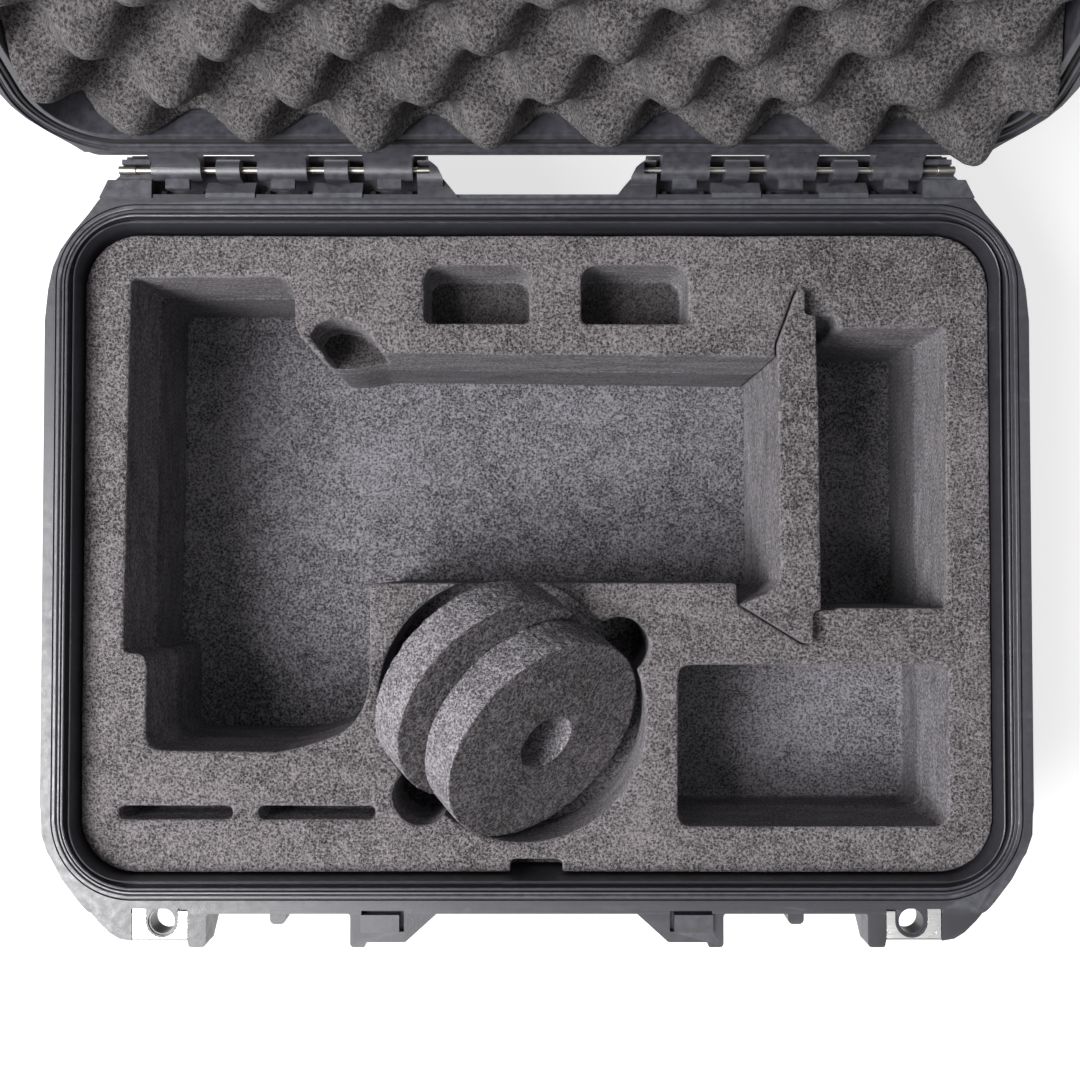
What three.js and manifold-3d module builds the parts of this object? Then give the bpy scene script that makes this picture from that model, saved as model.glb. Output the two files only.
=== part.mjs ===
// Hard equipment case with a cut foam insert, shown open. Millimetres, +Z up.
// Origin: centre of the footprint on the floor. +X is right, +Y is the back (hinge side).
// Lid parts are modelled closed, in case coordinates, and then turned with the lid group.
import * as THREE from "three";
import { mergeVertices } from "three/addons/utils/BufferGeometryUtils.js";
import Module from "manifold-3d";

const wasm = await Module();
wasm.setup();

// ---------- driving dimensions ----------
const GAP = 0.3; // play between neighbouring parts
const RIM_X = 251.5; // half width over the rim flange
const RIM_Y = 183; // half depth over the rim flange
const CAV_X = 236; // half width of the cavity
const CAV_FRONT = -166.2;
const CAV_BACK = 167.8;
const CAV_R = 29; // vertical corner radius of the cavity
const WALL = 4.2;
const FLOOR_Z = 8; // inside floor of the base
const SKIN_Z = 4; // underside of the base skin
const PART_Z = 135; // parting plane, also the height of the hinge axis
const LID_CEILING = PART_Z + 51; // inside of the lid top
const LID_TOP = 190.5; // outer skin of the lid
const LID_RIB_TOP = 195;

const FLANGE_BOTTOM = 119;
const FLANGE_TOP = PART_Z - GAP;
const BLOCK_TOP = PART_Z - 0.4; // top of the blocks at the hinge
const BASE_LUG_TOP = 132.7; // lugs and ears lie a little below the sealing ridges
const LID_FLANGE_TOP = 149;
const LID_LUG_BOTTOM = 137.4;
const ABOVE = 150; // cuts that leave the base or the lid flange end up here

const HINGE_Y = 194.8;
const HINGE_ROOT_Y = 181; // hinge parts start here, inside the back flange
const KNUCKLE_R = 5.2;
const BASE_KNUCKLE_X = [102, 157];
const BASE_KNUCKLE_HALF = 6;
const LID_KNUCKLE_X = [183.3, 129.5, 75.3];
const ARM_HALF = 12.5; // half width of the hinge arms and of the lid knuckles
const OPEN_DEG = 108;

const PIN_CLEARANCE = 0.35; // between a pin and its bore, on the radius
const HINGE_PIN_R = 1.5;
const CROSS_PIN_R = 2; // latch and handle pins
const TRIGGER_PIN_R = 1.4;

const LATCH_X = 131; // centre of each latch
const LATCH_Y = -192;
const LATCH_Z = 152;
const LATCH_OPEN_DEG = 95;
const HANDLE_Y = -180;
const HANDLE_Z = 108;
const VALVE_Z = 84;

const FOAM_X = 235.2;
const FOAM_Y = 165.2;
const FOAM_R = 28;
const PAD_TOP = 20.5;
const LOWER_TOP = 71.3;
const UPPER_TOP = 122.5;
const UPPER_BOTTOM = LOWER_TOP + GAP;

const PADLOCK = {
  x: 189.5,
  y: -187,
  holeR: 6.3,
  collarR: 7.9,
  seat: [176.6, 204.8], // near and far edge of the sleeve seat, from the centre plane
  front: -199,
  face: -195, // front face of the ear inside the sleeve
  back: -180.4,
};

// ---------- solids ----------
const rad = THREE.MathUtils.degToRad;
const translation = (x, y, z) => new THREE.Matrix4().makeTranslation(x, y, z);
const union = (...parts) => parts.flat().reduce((a, b) => a.add(b));
const minus = (body, ...cuts) => cuts.flat().reduce((a, b) => a.subtract(b), body);

function toSolid(geometry) {
  const bare = geometry.clone();
  bare.deleteAttribute("normal");
  bare.deleteAttribute("uv");
  const merged = mergeVertices(bare, 1e-4);
  return new wasm.Manifold(
    new wasm.Mesh({
      numProp: 3,
      vertProperties: new Float32Array(merged.attributes.position.array),
      triVerts: new Uint32Array(merged.index.array),
    }),
  );
}
function toGeometry(solid) {
  const mesh = solid.getMesh();
  const geometry = new THREE.BufferGeometry();
  const positions = new Float32Array(mesh.vertProperties);
  geometry.setAttribute("position", new THREE.BufferAttribute(positions, 3));
  geometry.setIndex(new THREE.BufferAttribute(new Uint32Array(mesh.triVerts), 1));
  return geometry;
}

function box(x0, x1, y0, y1, z0, z1) {
  const geometry = new THREE.BoxGeometry(x1 - x0, y1 - y0, z1 - z0);
  geometry.translate((x0 + x1) / 2, (y0 + y1) / 2, (z0 + z1) / 2);
  return toSolid(geometry);
}
function extrusion(points, depth) {
  const shape = new THREE.Shape(points.map(([a, b]) => new THREE.Vector2(a, b)));
  return new THREE.ExtrudeGeometry(shape, { depth, bevelEnabled: false });
}
// Upright prism of a closed outline of [x, y].
function prism(points, z0, z1) {
  return toSolid(extrusion(points, z1 - z0).translate(0, 0, z0));
}
// Prism along X of a closed outline of [y, z].
function prismX(points, x0, x1) {
  const toYZ = new THREE.Matrix4().set(0, 0, 1, x0, 1, 0, 0, 0, 0, 1, 0, 0, 0, 0, 0, 1);
  return toSolid(extrusion(points, x1 - x0).applyMatrix4(toYZ));
}
function cylX(y, z, radius, x0, x1, segments) {
  const geometry = new THREE.CylinderGeometry(radius, radius, x1 - x0, segments);
  geometry.rotateZ(Math.PI / 2);
  return toSolid(geometry.translate((x0 + x1) / 2, y, z));
}
function cylY(x, z, radius, y0, y1, segments) {
  const geometry = new THREE.CylinderGeometry(radius, radius, y1 - y0, segments);
  return toSolid(geometry.translate(x, (y0 + y1) / 2, z));
}
function cylZ(x, y, radius, z0, z1, segments) {
  const geometry = new THREE.CylinderGeometry(radius, radius, z1 - z0, segments);
  geometry.rotateX(Math.PI / 2);
  return toSolid(geometry.translate(x, y, (z0 + z1) / 2));
}

// Rounded rectangle, counter-clockwise from the front left corner.
// The radius is one number or one per corner; steps divide each quarter turn.
function roundedRect(x0, x1, y0, y1, radius, steps) {
  const radii = Array.isArray(radius) ? radius : [radius, radius, radius, radius];
  const corners = [
    [x0, y0, 1, 1, Math.PI],
    [x1, y0, -1, 1, 1.5 * Math.PI],
    [x1, y1, -1, -1, 0],
    [x0, y1, 1, -1, 0.5 * Math.PI],
  ];
  return corners.flatMap(([x, y, inX, inY, start], corner) => {
    const r = radii[corner];
    if (r <= 0) return [[x, y]];
    return Array.from({ length: steps + 1 }, (_, k) => {
      const angle = start + (k / steps) * (Math.PI / 2);
      return [x + inX * r + r * Math.cos(angle), y + inY * r + r * Math.sin(angle)];
    });
  });
}
function roundedSlab(x0, x1, y0, y1, z0, z1, radius, steps) {
  return prism(roundedRect(x0, x1, y0, y1, radius, steps), z0, z1);
}

// ---------- left and right ----------
const SIDES = { left: -1, right: 1 };
const eachSide = (make) => [-1, 1].map(make);
// X range between two distances from the centre plane, on one side
const span = (side, near, far) => (side > 0 ? [near, far] : [-far, -near]);
const withMirrored = (points) => [...points, ...points.map(([x, y]) => [-x, y]).reverse()];

// A solid and its mirror image across the centre plane.
function both(solid) {
  const geometry = toGeometry(solid);
  geometry.applyMatrix4(new THREE.Matrix4().makeScale(-1, 1, 1));
  const index = geometry.index.array;
  for (let k = 0; k < index.length; k += 3) {
    [index[k + 1], index[k + 2]] = [index[k + 2], index[k + 1]];
  }
  return [solid, toSolid(geometry)];
}
function boresX(y, z, pinRadius, near, far) {
  const radius = pinRadius + PIN_CLEARANCE;
  return eachSide((side) => cylX(y, z, radius, ...span(side, near, far), 14));
}
const hingeBores = () => boresX(HINGE_Y, PART_Z, HINGE_PIN_R, 53.5, 215);

// ---------- materials ----------
const PLASTIC = { color: 0x4b4c55, roughness: 0.42, metalness: 0.0 };
const PLASTIC_DARK = { color: 0x34353b, roughness: 0.5, metalness: 0.0 };
const STEEL = { color: 0xcfd0cf, roughness: 0.28, metalness: 1.0 };
const FOAM = { color: 0x737378, roughness: 1.0, metalness: 0.0 };
const FOAM_DARK = { color: 0x4a4a4d, roughness: 1.0, metalness: 0.0 };
const RUBBER = { color: 0x1c1c1e, roughness: 0.75, metalness: 0.0 };

// ---------- outlines of the rim, left half, [x, y], from back to front ----------
const BACK_CORNER = [
  [-222.5, RIM_Y], [-229.6, 173], [-237.8, 163.1], [-243.9, 154.3],
  [-247.6, 145.5], [-250, 134], [-RIM_X, 118],
];
// front edge of the padlock ear, shared by base and lid
const EAR_CURVE = [[-222.3, -186.5], [-216.2, -192.5], [-211, -195.7], [-205, -196.7]];
const FRONT_CORNER = [
  [-RIM_X, -128], [-251, -143.5], [-247.7, -153], [-240, -163.6], [-230.9, -176],
  ...EAR_CURVE,
];
const FRONT_EDGE = [
  [-176.2, -196.7], [-176.2, -200], [-167.4, -200], [-167.4, -RIM_Y],
  [-94.4, -RIM_Y], [-94.4, -200], [-86.7, -200], [-86.5, -197.5],
  [-66.5, -197.5], [-50.4, -RIM_Y],
];
// the flange without the lugs that stand out at the front
const PLAIN_FRONT_CORNER = [
  [-RIM_X, -128], [-250, -143.5], [-246.8, -153], [-240.1, -165.6],
  [-231.3, -177], [-226, -RIM_Y],
];
const rimOutline = withMirrored([...BACK_CORNER, ...FRONT_CORNER, ...FRONT_EDGE]);
const plainOutline = withMirrored([...BACK_CORNER, ...PLAIN_FRONT_CORNER]);

// Cavity outline grown by an offset; the outer ones have fuller corners.
function ring(offset, radius = CAV_R + offset + (offset > 3 ? 2.5 : 0)) {
  const x = CAV_X + offset;
  return roundedRect(-x, x, CAV_FRONT - offset, CAV_BACK + offset, radius, 5);
}
// Closed band between two offsets of the cavity outline.
function ringBand(inner, outer, z0, z1) {
  return prism(ring(outer), z0, z1).subtract(prism(ring(inner), z0 - 1, z1 + 1));
}
const shellOutline = ring(WALL, CAV_R + WALL);

// ---------- ribs, shared by base and lid ----------
// Three middle bars and two side bars along Y, with rounded ends.
function longBars({ half, length, radius, sideNear, sideFar, sideLength, z0, z1 }) {
  return [
    ...[-110, 0, 110].map((x) =>
      roundedSlab(x - half, x + half, -length / 2, length / 2, z0, z1, radius, 3),
    ),
    ...eachSide((side) => {
      const [x0, x1] = span(side, sideNear, sideFar);
      return roundedSlab(x0, x1, -sideLength / 2, sideLength / 2, z0, z1, 8, 3);
    }),
  ];
}
function sideWallRibs(near, far, z0, z1) {
  return eachSide((side) =>
    [-127, -47, 47, 127].map((y) => box(...span(side, near, far), y - 5, y + 5, z0, z1)),
  ).flat();
}
const endWallRib = (x, y0, y1, z0, z1) => box(x - 6, x + 6, y0, y1, z0, z1);

// ---------- base shell: body and rim ----------
function baseRibs() {
  const bottom = 12;
  const top = 120;
  return [
    ...sideWallRibs(CAV_X + 3, 246, bottom, top),
    ...[-185, -79, 79, 185].flatMap((x) => [
      endWallRib(x, CAV_FRONT - 8.4, CAV_FRONT - 3, bottom, top),
      endWallRib(x, CAV_BACK + 3, CAV_BACK + 9.6, bottom, top),
    ]),
    // level band along both side walls; the cavity cut removes its middle
    box(-244.5, 244.5, -118, 118, 60, 66),
    // rails that the case stands on
    ...longBars({
      half: 17,
      length: 280,
      radius: 10,
      sideNear: 205,
      sideFar: 233,
      sideLength: 240,
      z0: 0,
      z1: SKIN_Z + 1,
    }),
  ];
}

// Plates under the inner ears that carry the handle pins, [y, z].
const HANDLE_PLATE = [
  [CAV_FRONT - 3, 94], [CAV_FRONT - 3, 120], [-190, 120], [-190, 103], [-185, 97],
];
const GUSSET = [[-169, 82], [-169, 121], [-199, 121], [-199, 116]]; // [y, z]

function baseFrontDetails() {
  const gussetHalf = 4.2;
  return [
    ...eachSide((side) => prismX(HANDLE_PLATE, ...span(side, 66.8, 76))),
    // triangular gussets under the lugs
    ...[172, 90.5].flatMap((x) => both(prismX(GUSSET, -x - gussetHalf, -x + gussetHalf))),
    // raised pads on the inner ears
    ...both(box(-88.9, -69.4, -192.2, -183.3, 130, 134.6)),
    // small rib in each latch bay
    ...both(box(-135, -127, -188.4, -182, 122, BASE_LUG_TOP)),
  ];
}

// Grooves in the rim, and the flange outside the ridges lowered.
function cutRim(shell) {
  const loweredZ = FLANGE_TOP - 1.1;
  const grown = plainOutline.map(([x, y]) => [x * 1.01, y * 1.005 + 0.2]);
  const loweredFlange = minus(
    prism(grown, loweredZ, 136),
    prism(ring(9.5), 120, 141),
    box(-250, 250, HINGE_ROOT_Y, 210, 120, ABOVE), // hinge side stays high
  );
  return minus(
    shell,
    prism(ring(0), FLOOR_Z, 140), // cavity
    ringBand(1.15, 3.2, 126, 140), // deep groove
    ringBand(5.05, 5.75, 131.6, 140), // thin groove
    ringBand(9.5, 10.25, 132, 140), // step outside the outer ridge
    loweredFlange,
  );
}

// Padlock hole, seat of the steel sleeve, and a collar that stands in the sleeve's slot.
function cutBaseEar(shell, side) {
  const { y, holeR, collarR, front, face, back } = PADLOCK;
  const x = side * PADLOCK.x;
  const seatX = span(side, ...PADLOCK.seat);
  const collarZ = [130, 132.4];
  const collared = union(
    shell.subtract(box(...seatX, front, back, 131.2, 136)),
    cylZ(x, y, collarR, ...collarZ, 28),
    box(x - collarR, x + collarR, y, y + 8, ...collarZ),
  );
  return minus(
    collared,
    cylZ(x, y, holeR, 100, 140, 24),
    box(...seatX, front, back, 118, 120.5),
    box(...seatX, front, face, 118, 136),
  );
}

// ---------- base shell: hinge ----------
// [y, z]
const KNUCKLE_WEB = [
  [HINGE_Y - 5, 122], [HINGE_Y - 5, PART_Z], [HINGE_Y, PART_Z - 3],
  [HINGE_Y + 2, PART_Z - 4.6], [HINGE_Y, 122],
];
const BASE_ARM = [
  [HINGE_ROOT_Y, 120], [190.2, 120], [190.2, PART_Z - 5],
  [183.4, BLOCK_TOP], [HINGE_ROOT_Y, BLOCK_TOP],
];
// [x, y], left side
const TROUGH = [
  [-46, HINGE_ROOT_Y], [-221, HINGE_ROOT_Y], [-216, 190],
  [-211.5, 203.5], [-57, 203.5], [-50, 190],
];
const INNER_BLOCK = [
  [-60.9, HINGE_ROOT_Y], [-60.9, 200.2], [-57.5, 200.2],
  [-50, 193], [-44, 186], [-40.2, HINGE_ROOT_Y],
];
const INNER_BLOCK_CROWN = [[-60.9, 186.5], [-60.9, 202], [-57.5, 202], [-50.5, 195], [-46, 186.5]];
// Steps of the outer block: x of its far edge at the front and back, y range, top.
const OUTER_BLOCK_STEPS = [
  [-224, -219.5, HINGE_ROOT_Y, 190.2, BLOCK_TOP],
  [-218.8, -214.5, 188, 192.2, PART_Z - 2],
  [-215.5, -211.5, 190, 199.8, PART_Z - 2.6],
  [-211.5, -211.5, 197.3, 199.8, PART_Z + 2], // wall behind the pin end
];
const OUTER_BLOCK_NEAR = 197.2; // edge nearest the centre plane

// Narrow knuckle on a wide arm plate.
function baseKnuckle(x) {
  const range = [x - BASE_KNUCKLE_HALF, x + BASE_KNUCKLE_HALF];
  return union(
    cylX(HINGE_Y, PART_Z, KNUCKLE_R, ...range, 20),
    prismX(KNUCKLE_WEB, ...range),
    prismX(BASE_ARM, x - ARM_HALF, x + ARM_HALF),
  );
}
// Block with a rounded, slanted crown at the inner end of each hinge.
function innerBlock() {
  const crown = cylX(HINGE_Y - 1.5, PART_Z - 2.2, 7.2, -60.9, -48, 28);
  return union(
    prism(INNER_BLOCK, FLANGE_BOTTOM, BLOCK_TOP),
    crown.intersect(prism(INNER_BLOCK_CROWN, 118, 145)),
  );
}
function outerBlock() {
  return union(
    OUTER_BLOCK_STEPS.map(([farFront, farBack, y0, y1, top]) => {
      const step = [
        [-OUTER_BLOCK_NEAR, y0], [farFront, y0], [farBack, y1], [-OUTER_BLOCK_NEAR, y1],
      ];
      return prism(step, FLANGE_BOTTOM, top);
    }),
  );
}
function baseHinge() {
  return [
    ...BASE_KNUCKLE_X.flatMap((x) => both(baseKnuckle(-x))),
    ...both(prism(TROUGH, FLANGE_BOTTOM, 122.8)),
    ...both(box(-211.5, -57, 201.3, 203.5, FLANGE_BOTTOM, 130)), // back wall of the trough
    ...both(innerBlock()),
    ...both(outerBlock()),
  ];
}
function baseHingeCuts() {
  // pocket for the thick pin end, and window in the inner block where the pin shows
  const opening = (near, far, half, z0, z1) =>
    eachSide((side) => box(...span(side, near, far), HINGE_Y - half, HINGE_Y + half, z0, z1));
  return [
    ...hingeBores(),
    ...opening(203.4, 216, 2.5, PART_Z - 2.5, 142),
    ...opening(54.5, 61.5, 3.2, PART_Z - 4, 146),
  ];
}

function baseShell() {
  let shell = union(
    prism(shellOutline, SKIN_Z, 125),
    prism(plainOutline, FLANGE_BOTTOM, FLANGE_TOP),
    prism(rimOutline, FLANGE_BOTTOM, BASE_LUG_TOP),
    baseRibs(),
    baseFrontDetails(),
    baseHinge(),
  );
  shell = cutRim(shell);
  for (const side of [-1, 1]) shell = cutBaseEar(shell, side);
  return minus(
    shell,
    baseHingeCuts(),
    boresX(HANDLE_Y, HANDLE_Z, CROSS_PIN_R, 60, 74),
    cylY(0, VALVE_Z, 8.3, -180, -160, 20),
  );
}

// ---------- lid shell ----------
// Front lug that carries a latch pin, [y, z].
const LID_LUG = [
  [-181, LID_LUG_BOTTOM], [-199.5, LID_LUG_BOTTOM], [-199.5, 158],
  [-190, 166], [-169, 172], [-169, LID_FLANGE_TOP],
];
// Padlock ear, left side, [x, y].
const LID_EAR = [[-226, -181], [-231.3, -177], ...EAR_CURVE, [-173, -196.7], [-173, -181]];
// [y, z]
const LID_ARM = [
  [179, PART_Z + 0.6], [HINGE_Y - 5, PART_Z + 0.6], [HINGE_Y, PART_Z + 0.6],
  [HINGE_Y + 4, PART_Z + 3.3], [190, 146], [179, LID_FLANGE_TOP],
];
// Stop tab: [distance from the hinge axis, sideways offset].
const STOP_TAB = [[3, -1.7], [9.4, -1.7], [9.9, -1], [9.9, 1], [9.4, 1.7], [3, 1.7]];

function lidRibs() {
  const bottom = 147;
  const top = 184;
  return [
    ...longBars({
      half: 15,
      length: 264,
      radius: 8,
      sideNear: 200,
      sideFar: 229,
      sideLength: 224,
      z0: LID_TOP - 1,
      z1: LID_RIB_TOP,
    }),
    ...sideWallRibs(238, 245, bottom, top),
    ...[-185, -79, 0, 79, 185].map((x) =>
      endWallRib(x, CAV_BACK + 3, CAV_BACK + 9, bottom, top),
    ),
  ];
}

// Wide knuckle, its arm from the back flange, and a tab that points forward when open.
function lidKnuckle(x) {
  const sin = Math.sin(rad(OPEN_DEG));
  const cos = Math.cos(rad(OPEN_DEG));
  const tab = STOP_TAB.map(([out, across]) => [
    HINGE_Y - cos * out + sin * across,
    PART_Z - sin * out - cos * across,
  ]);
  return [
    cylX(HINGE_Y, PART_Z, KNUCKLE_R, x - ARM_HALF, x + ARM_HALF, 20),
    prismX(LID_ARM, x - ARM_HALF, x + ARM_HALF),
    prismX(tab, x - 6.1, x + 6.1),
  ];
}

// Room round the base knuckles and the end blocks.
function lidHingeClearance() {
  const half = BASE_KNUCKLE_HALF + 0.4;
  const ranges = [
    [40, 63.2],
    ...BASE_KNUCKLE_X.map((x) => [x - half, x + half]),
    [OUTER_BLOCK_NEAR, 224],
  ];
  return ranges.flatMap(([near, far]) =>
    eachSide((side) => box(...span(side, near, far), 183.2, 204, 120, 143.5)),
  );
}

// Padlock hole and seat of the steel sleeve.
function lidEarCuts(side) {
  const { x, y, holeR, seat, front, face, back } = PADLOCK;
  const seatX = span(side, ...seat);
  return [
    cylZ(side * x, y, holeR, 130, 160, 24),
    box(...seatX, front, back, 130, 139.2),
    box(...seatX, front, back, 147.5, 160),
    box(...seatX, front, face, 130, ABOVE),
  ];
}

function lidShell() {
  // closes over the lowered outer flange of the base, open at the hinge side
  const skirt = minus(
    prism(plainOutline, 134, 137),
    prism(ring(10.9), 120, ABOVE),
    box(-260, 260, 179, 215, 120, ABOVE),
  );
  const shell = union(
    prism(shellOutline, 136, LID_TOP),
    prism(plainOutline, PART_Z + GAP, LID_FLANGE_TOP),
    skirt,
    both(prismX(LID_LUG, -176.6, -167.4)),
    both(prismX(LID_LUG, -94.4, -86.7)),
    both(prism(LID_EAR, LID_LUG_BOTTOM, LID_FLANGE_TOP)),
    lidRibs(),
    LID_KNUCKLE_X.map((x) => -x).flatMap(lidKnuckle),
    [...LID_KNUCKLE_X].reverse().flatMap(lidKnuckle),
  );
  return minus(
    shell,
    prism(ring(0), 130, LID_CEILING),
    ringBand(3.9, 7.6, 130, 140.5), // gasket groove
    lidHingeClearance(),
    eachSide(lidEarCuts).flat(),
    hingeBores(),
    boresX(LATCH_Y, LATCH_Z, CROSS_PIN_R, 89, 174),
  );
}

// Gasket: a wide strip in the lid groove and a narrower lip below it.
function lidGasket() {
  return union(ringBand(4.3, 7.2, 136.6, 140.2), ringBand(4.9, 6.6, 135.3, 137));
}

// ---------- hinge pins, with a thick outer end ----------
function hingePin(side) {
  return union(
    cylX(HINGE_Y, PART_Z, HINGE_PIN_R, ...span(side, 54, 213), 12),
    cylX(HINGE_Y, PART_Z, 2.1, ...span(side, 204.6, 213.6), 12),
  );
}

// ---------- padlock sleeves: steel sheet wrapped round each ear ----------
function sleeve(side, bottom, top) {
  const sheet = 1.1;
  const front = -196.6;
  const slotR = PADLOCK.collarR + GAP;
  const x = side * PADLOCK.x;
  const [x0, x1] = span(side, 176.9, 204.4);
  return minus(
    box(x0, x1, front, -180.8, bottom, top),
    box(x0 - 1, x1 + 1, front + sheet, -170, bottom + sheet, top - sheet),
    cylZ(x, PADLOCK.y, slotR, bottom - 5, top + 5, 28),
    box(x - slotR, x + slotR, PADLOCK.y, -180, bottom - 5, top + 5),
  );
}

// ---------- foam in the base, outlines in [x, y] ----------
const FOAM_OUTLINE = roundedRect(-FOAM_X, FOAM_X, -FOAM_Y, FOAM_Y, FOAM_R, 5);
const CUT_BOTTOM = 10; // foam cuts that go right through start here
const CUT_TOP = 130;
// L-shaped main pocket
const MAIN_POCKET = [
  [-211.6, 143.2], [-213.9, -52.3], [-206.4, -52.6], [-203.2, -54], [-201.8, -58],
  [-202.2, -95.5], [-200.8, -100], [-197.4, -102.3], [-190, -102.9], [-133, -103.2],
  [-120.2, -100.4], [-108.2, -96.5], [-100.5, -93.4], [-94.5, -88], [-90, -80.5],
  [-87.6, -73], [-86.6, -64], [-86.6, -16.1], [125, -16.1], [125, 101.2],
  [-86, 103.4], [-101, 100.4], [-113, 100.4], [-124, 113], [-126.2, 118],
  [-126.6, 132], [-128.4, 138.5], [-132, 142.6], [-137, 143.4],
];
const THUMB_RECESS = [
  [-118.4, 112.8], [-114, 118.8], [-107, 121.2], [-97, 119.6], [-88, 113.8],
  [-82, 106.6], [-79.6, 99.5], [-82, 96], [-105, 95],
];
// loose divider at the right end of the main pocket, with shaped ends
const DIVIDER = [
  [124.9, -15], [124.9, 108], [129, 119], [135.2, 136.6], [139.2, 136.6],
  [139, 122.4], [144.4, 122.4], [146, 40], [146.4, -30], [142.6, -30.6],
  [142.4, -47.4], [137.4, -47.4], [104.4, -27.2], [119.6, -20.4],
];
// keyway that takes the ends of the divider
const KEYWAY = [
  [123.6, -15], [123.6, 108.4], [128.2, 119.3], [134.7, 137.3], [141.4, 137.3],
  [141.4, 123.2], [157, 123.2], [157, 115], [157, -30], [143.2, -30.6],
  [143.1, -48.1], [137.2, -48.1], [103.4, -27.4], [103.4, -15],
];
const PIT = { x: -7.2, y: -85.6, radius: 64.2, extra: 14 }; // runs on by extra behind the discs
const PIT_NOTCHES = [[43.1, -48.6], [-59.4, -126.1]]; // centres
const LEAN = { x: 0.7683, y: -0.6401 }; // direction in which the discs lean, from above

// Two half circles, the second moved back against the lean.
function pitOutline() {
  const steps = 28;
  const leanAngle = Math.atan2(LEAN.y, LEAN.x);
  const points = [];
  for (const rear of [0, 1]) {
    for (let k = 0; k <= steps; k++) {
      const angle = leanAngle - Math.PI / 2 + rear * Math.PI + (Math.PI * k) / steps;
      points.push([
        PIT.x - LEAN.x * PIT.extra * rear + PIT.radius * Math.cos(angle),
        PIT.y - LEAN.y * PIT.extra * rear + PIT.radius * Math.sin(angle),
      ]);
    }
  }
  return points;
}
// Pockets that pass from the upper block into the lower one.
function sharedPockets() {
  return [
    prism(MAIN_POCKET, CUT_BOTTOM, CUT_TOP),
    prism(KEYWAY, CUT_BOTTOM, CUT_TOP),
    box(156, 212.4, -28.9, 116.2, CUT_BOTTOM, CUT_TOP), // deep pocket
    roundedSlab(73.2, 212.7, -141.5, -58.6, 45.5, CUT_TOP, 6, 3), // front right pocket
  ];
}
function upperPockets() {
  const pitBottom = UPPER_BOTTOM - 2;
  const backRadii = [0, 0, 8, 8];
  return [
    prism(THUMB_RECESS, 88, CUT_TOP),
    // two recesses behind the main pocket
    roundedSlab(-58.8, -3.8, 119.1, 149.6, 85, CUT_TOP, backRadii, 4),
    roundedSlab(23.4, 78.9, 119.1, 149.6, 85, CUT_TOP, backRadii, 4),
    prism(pitOutline(), pitBottom, CUT_TOP),
    ...PIT_NOTCHES.map(([x, y]) => cylZ(x, y, 15, pitBottom, CUT_TOP, 20)),
    // two narrow slots at the front left
    box(-215.7, -157.1, -138, -131.2, 92, CUT_TOP),
    box(-143.6, -83.5, -138, -131.2, 92, CUT_TOP),
    // notch in the front edge
    box(-13.5, 13, -170, -158.8, 104, CUT_TOP),
  ];
}
const bottomPad = () => prism(FOAM_OUTLINE, FLOOR_Z + GAP, PAD_TOP);
const lowerFoam = () => minus(prism(FOAM_OUTLINE, PAD_TOP + GAP, LOWER_TOP), sharedPockets());
const upperFoam = () =>
  minus(prism(FOAM_OUTLINE, UPPER_BOTTOM, UPPER_TOP), sharedPockets(), upperPockets());
const foamDivider = () => prism(DIVIDER, PAD_TOP + GAP, 127.3);

// ---------- lid foam: backing sheet with rounded fingers in a staggered pattern ----------
const CRATE = {
  columns: 40,
  rows: 28,
  pitch: 57.6, // wavelength of the finger pattern, in X and Y
  halfX: 234.6,
  y0: -164.4,
  y1: 165.6,
  cornerR: 27,
  crestX: 35.1, // a line of crests in X
  crestInset: 9, // and one in Y, measured in from y1
  valleyZ: 164,
  peakZ: 128.5, // finger tips, pointing down in the closed lid
  sharpness: 0.8,
  backZ: LID_CEILING - 8, // the grid ends inside the plain backing sheet
};

// Pulls a grid point in to the rounded corners.
function clampToCrate(x, y) {
  const { halfX, y0, y1, cornerR } = CRATE;
  const middleY = (y0 + y1) / 2;
  const straightX = halfX - cornerR;
  const straightY = (y1 - y0) / 2 - cornerR;
  const overX = Math.abs(x) - straightX;
  const overY = Math.abs(y - middleY) - straightY;
  const distance = Math.hypot(overX, overY);
  if (overX <= 0 || overY <= 0 || distance <= cornerR) return [x, y];
  const scale = cornerR / distance;
  return [
    Math.sign(x) * (straightX + overX * scale),
    Math.sign(y - middleY) * (straightY + overY * scale) + middleY,
  ];
}
function crateHeight(x, y) {
  const { pitch, crestX, crestInset, y1, valleyZ, peakZ, sharpness } = CRATE;
  const waveX = Math.cos((2 * Math.PI * (x - crestX)) / pitch);
  const waveY = Math.cos((2 * Math.PI * (y - y1 + crestInset)) / pitch);
  // the small offset keeps the base of the power above zero
  const rise = Math.pow(((1 + waveX * waveY) / 2 + 0.01) / 1.01, sharpness);
  return valleyZ + (peakZ - valleyZ) * rise;
}
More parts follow.
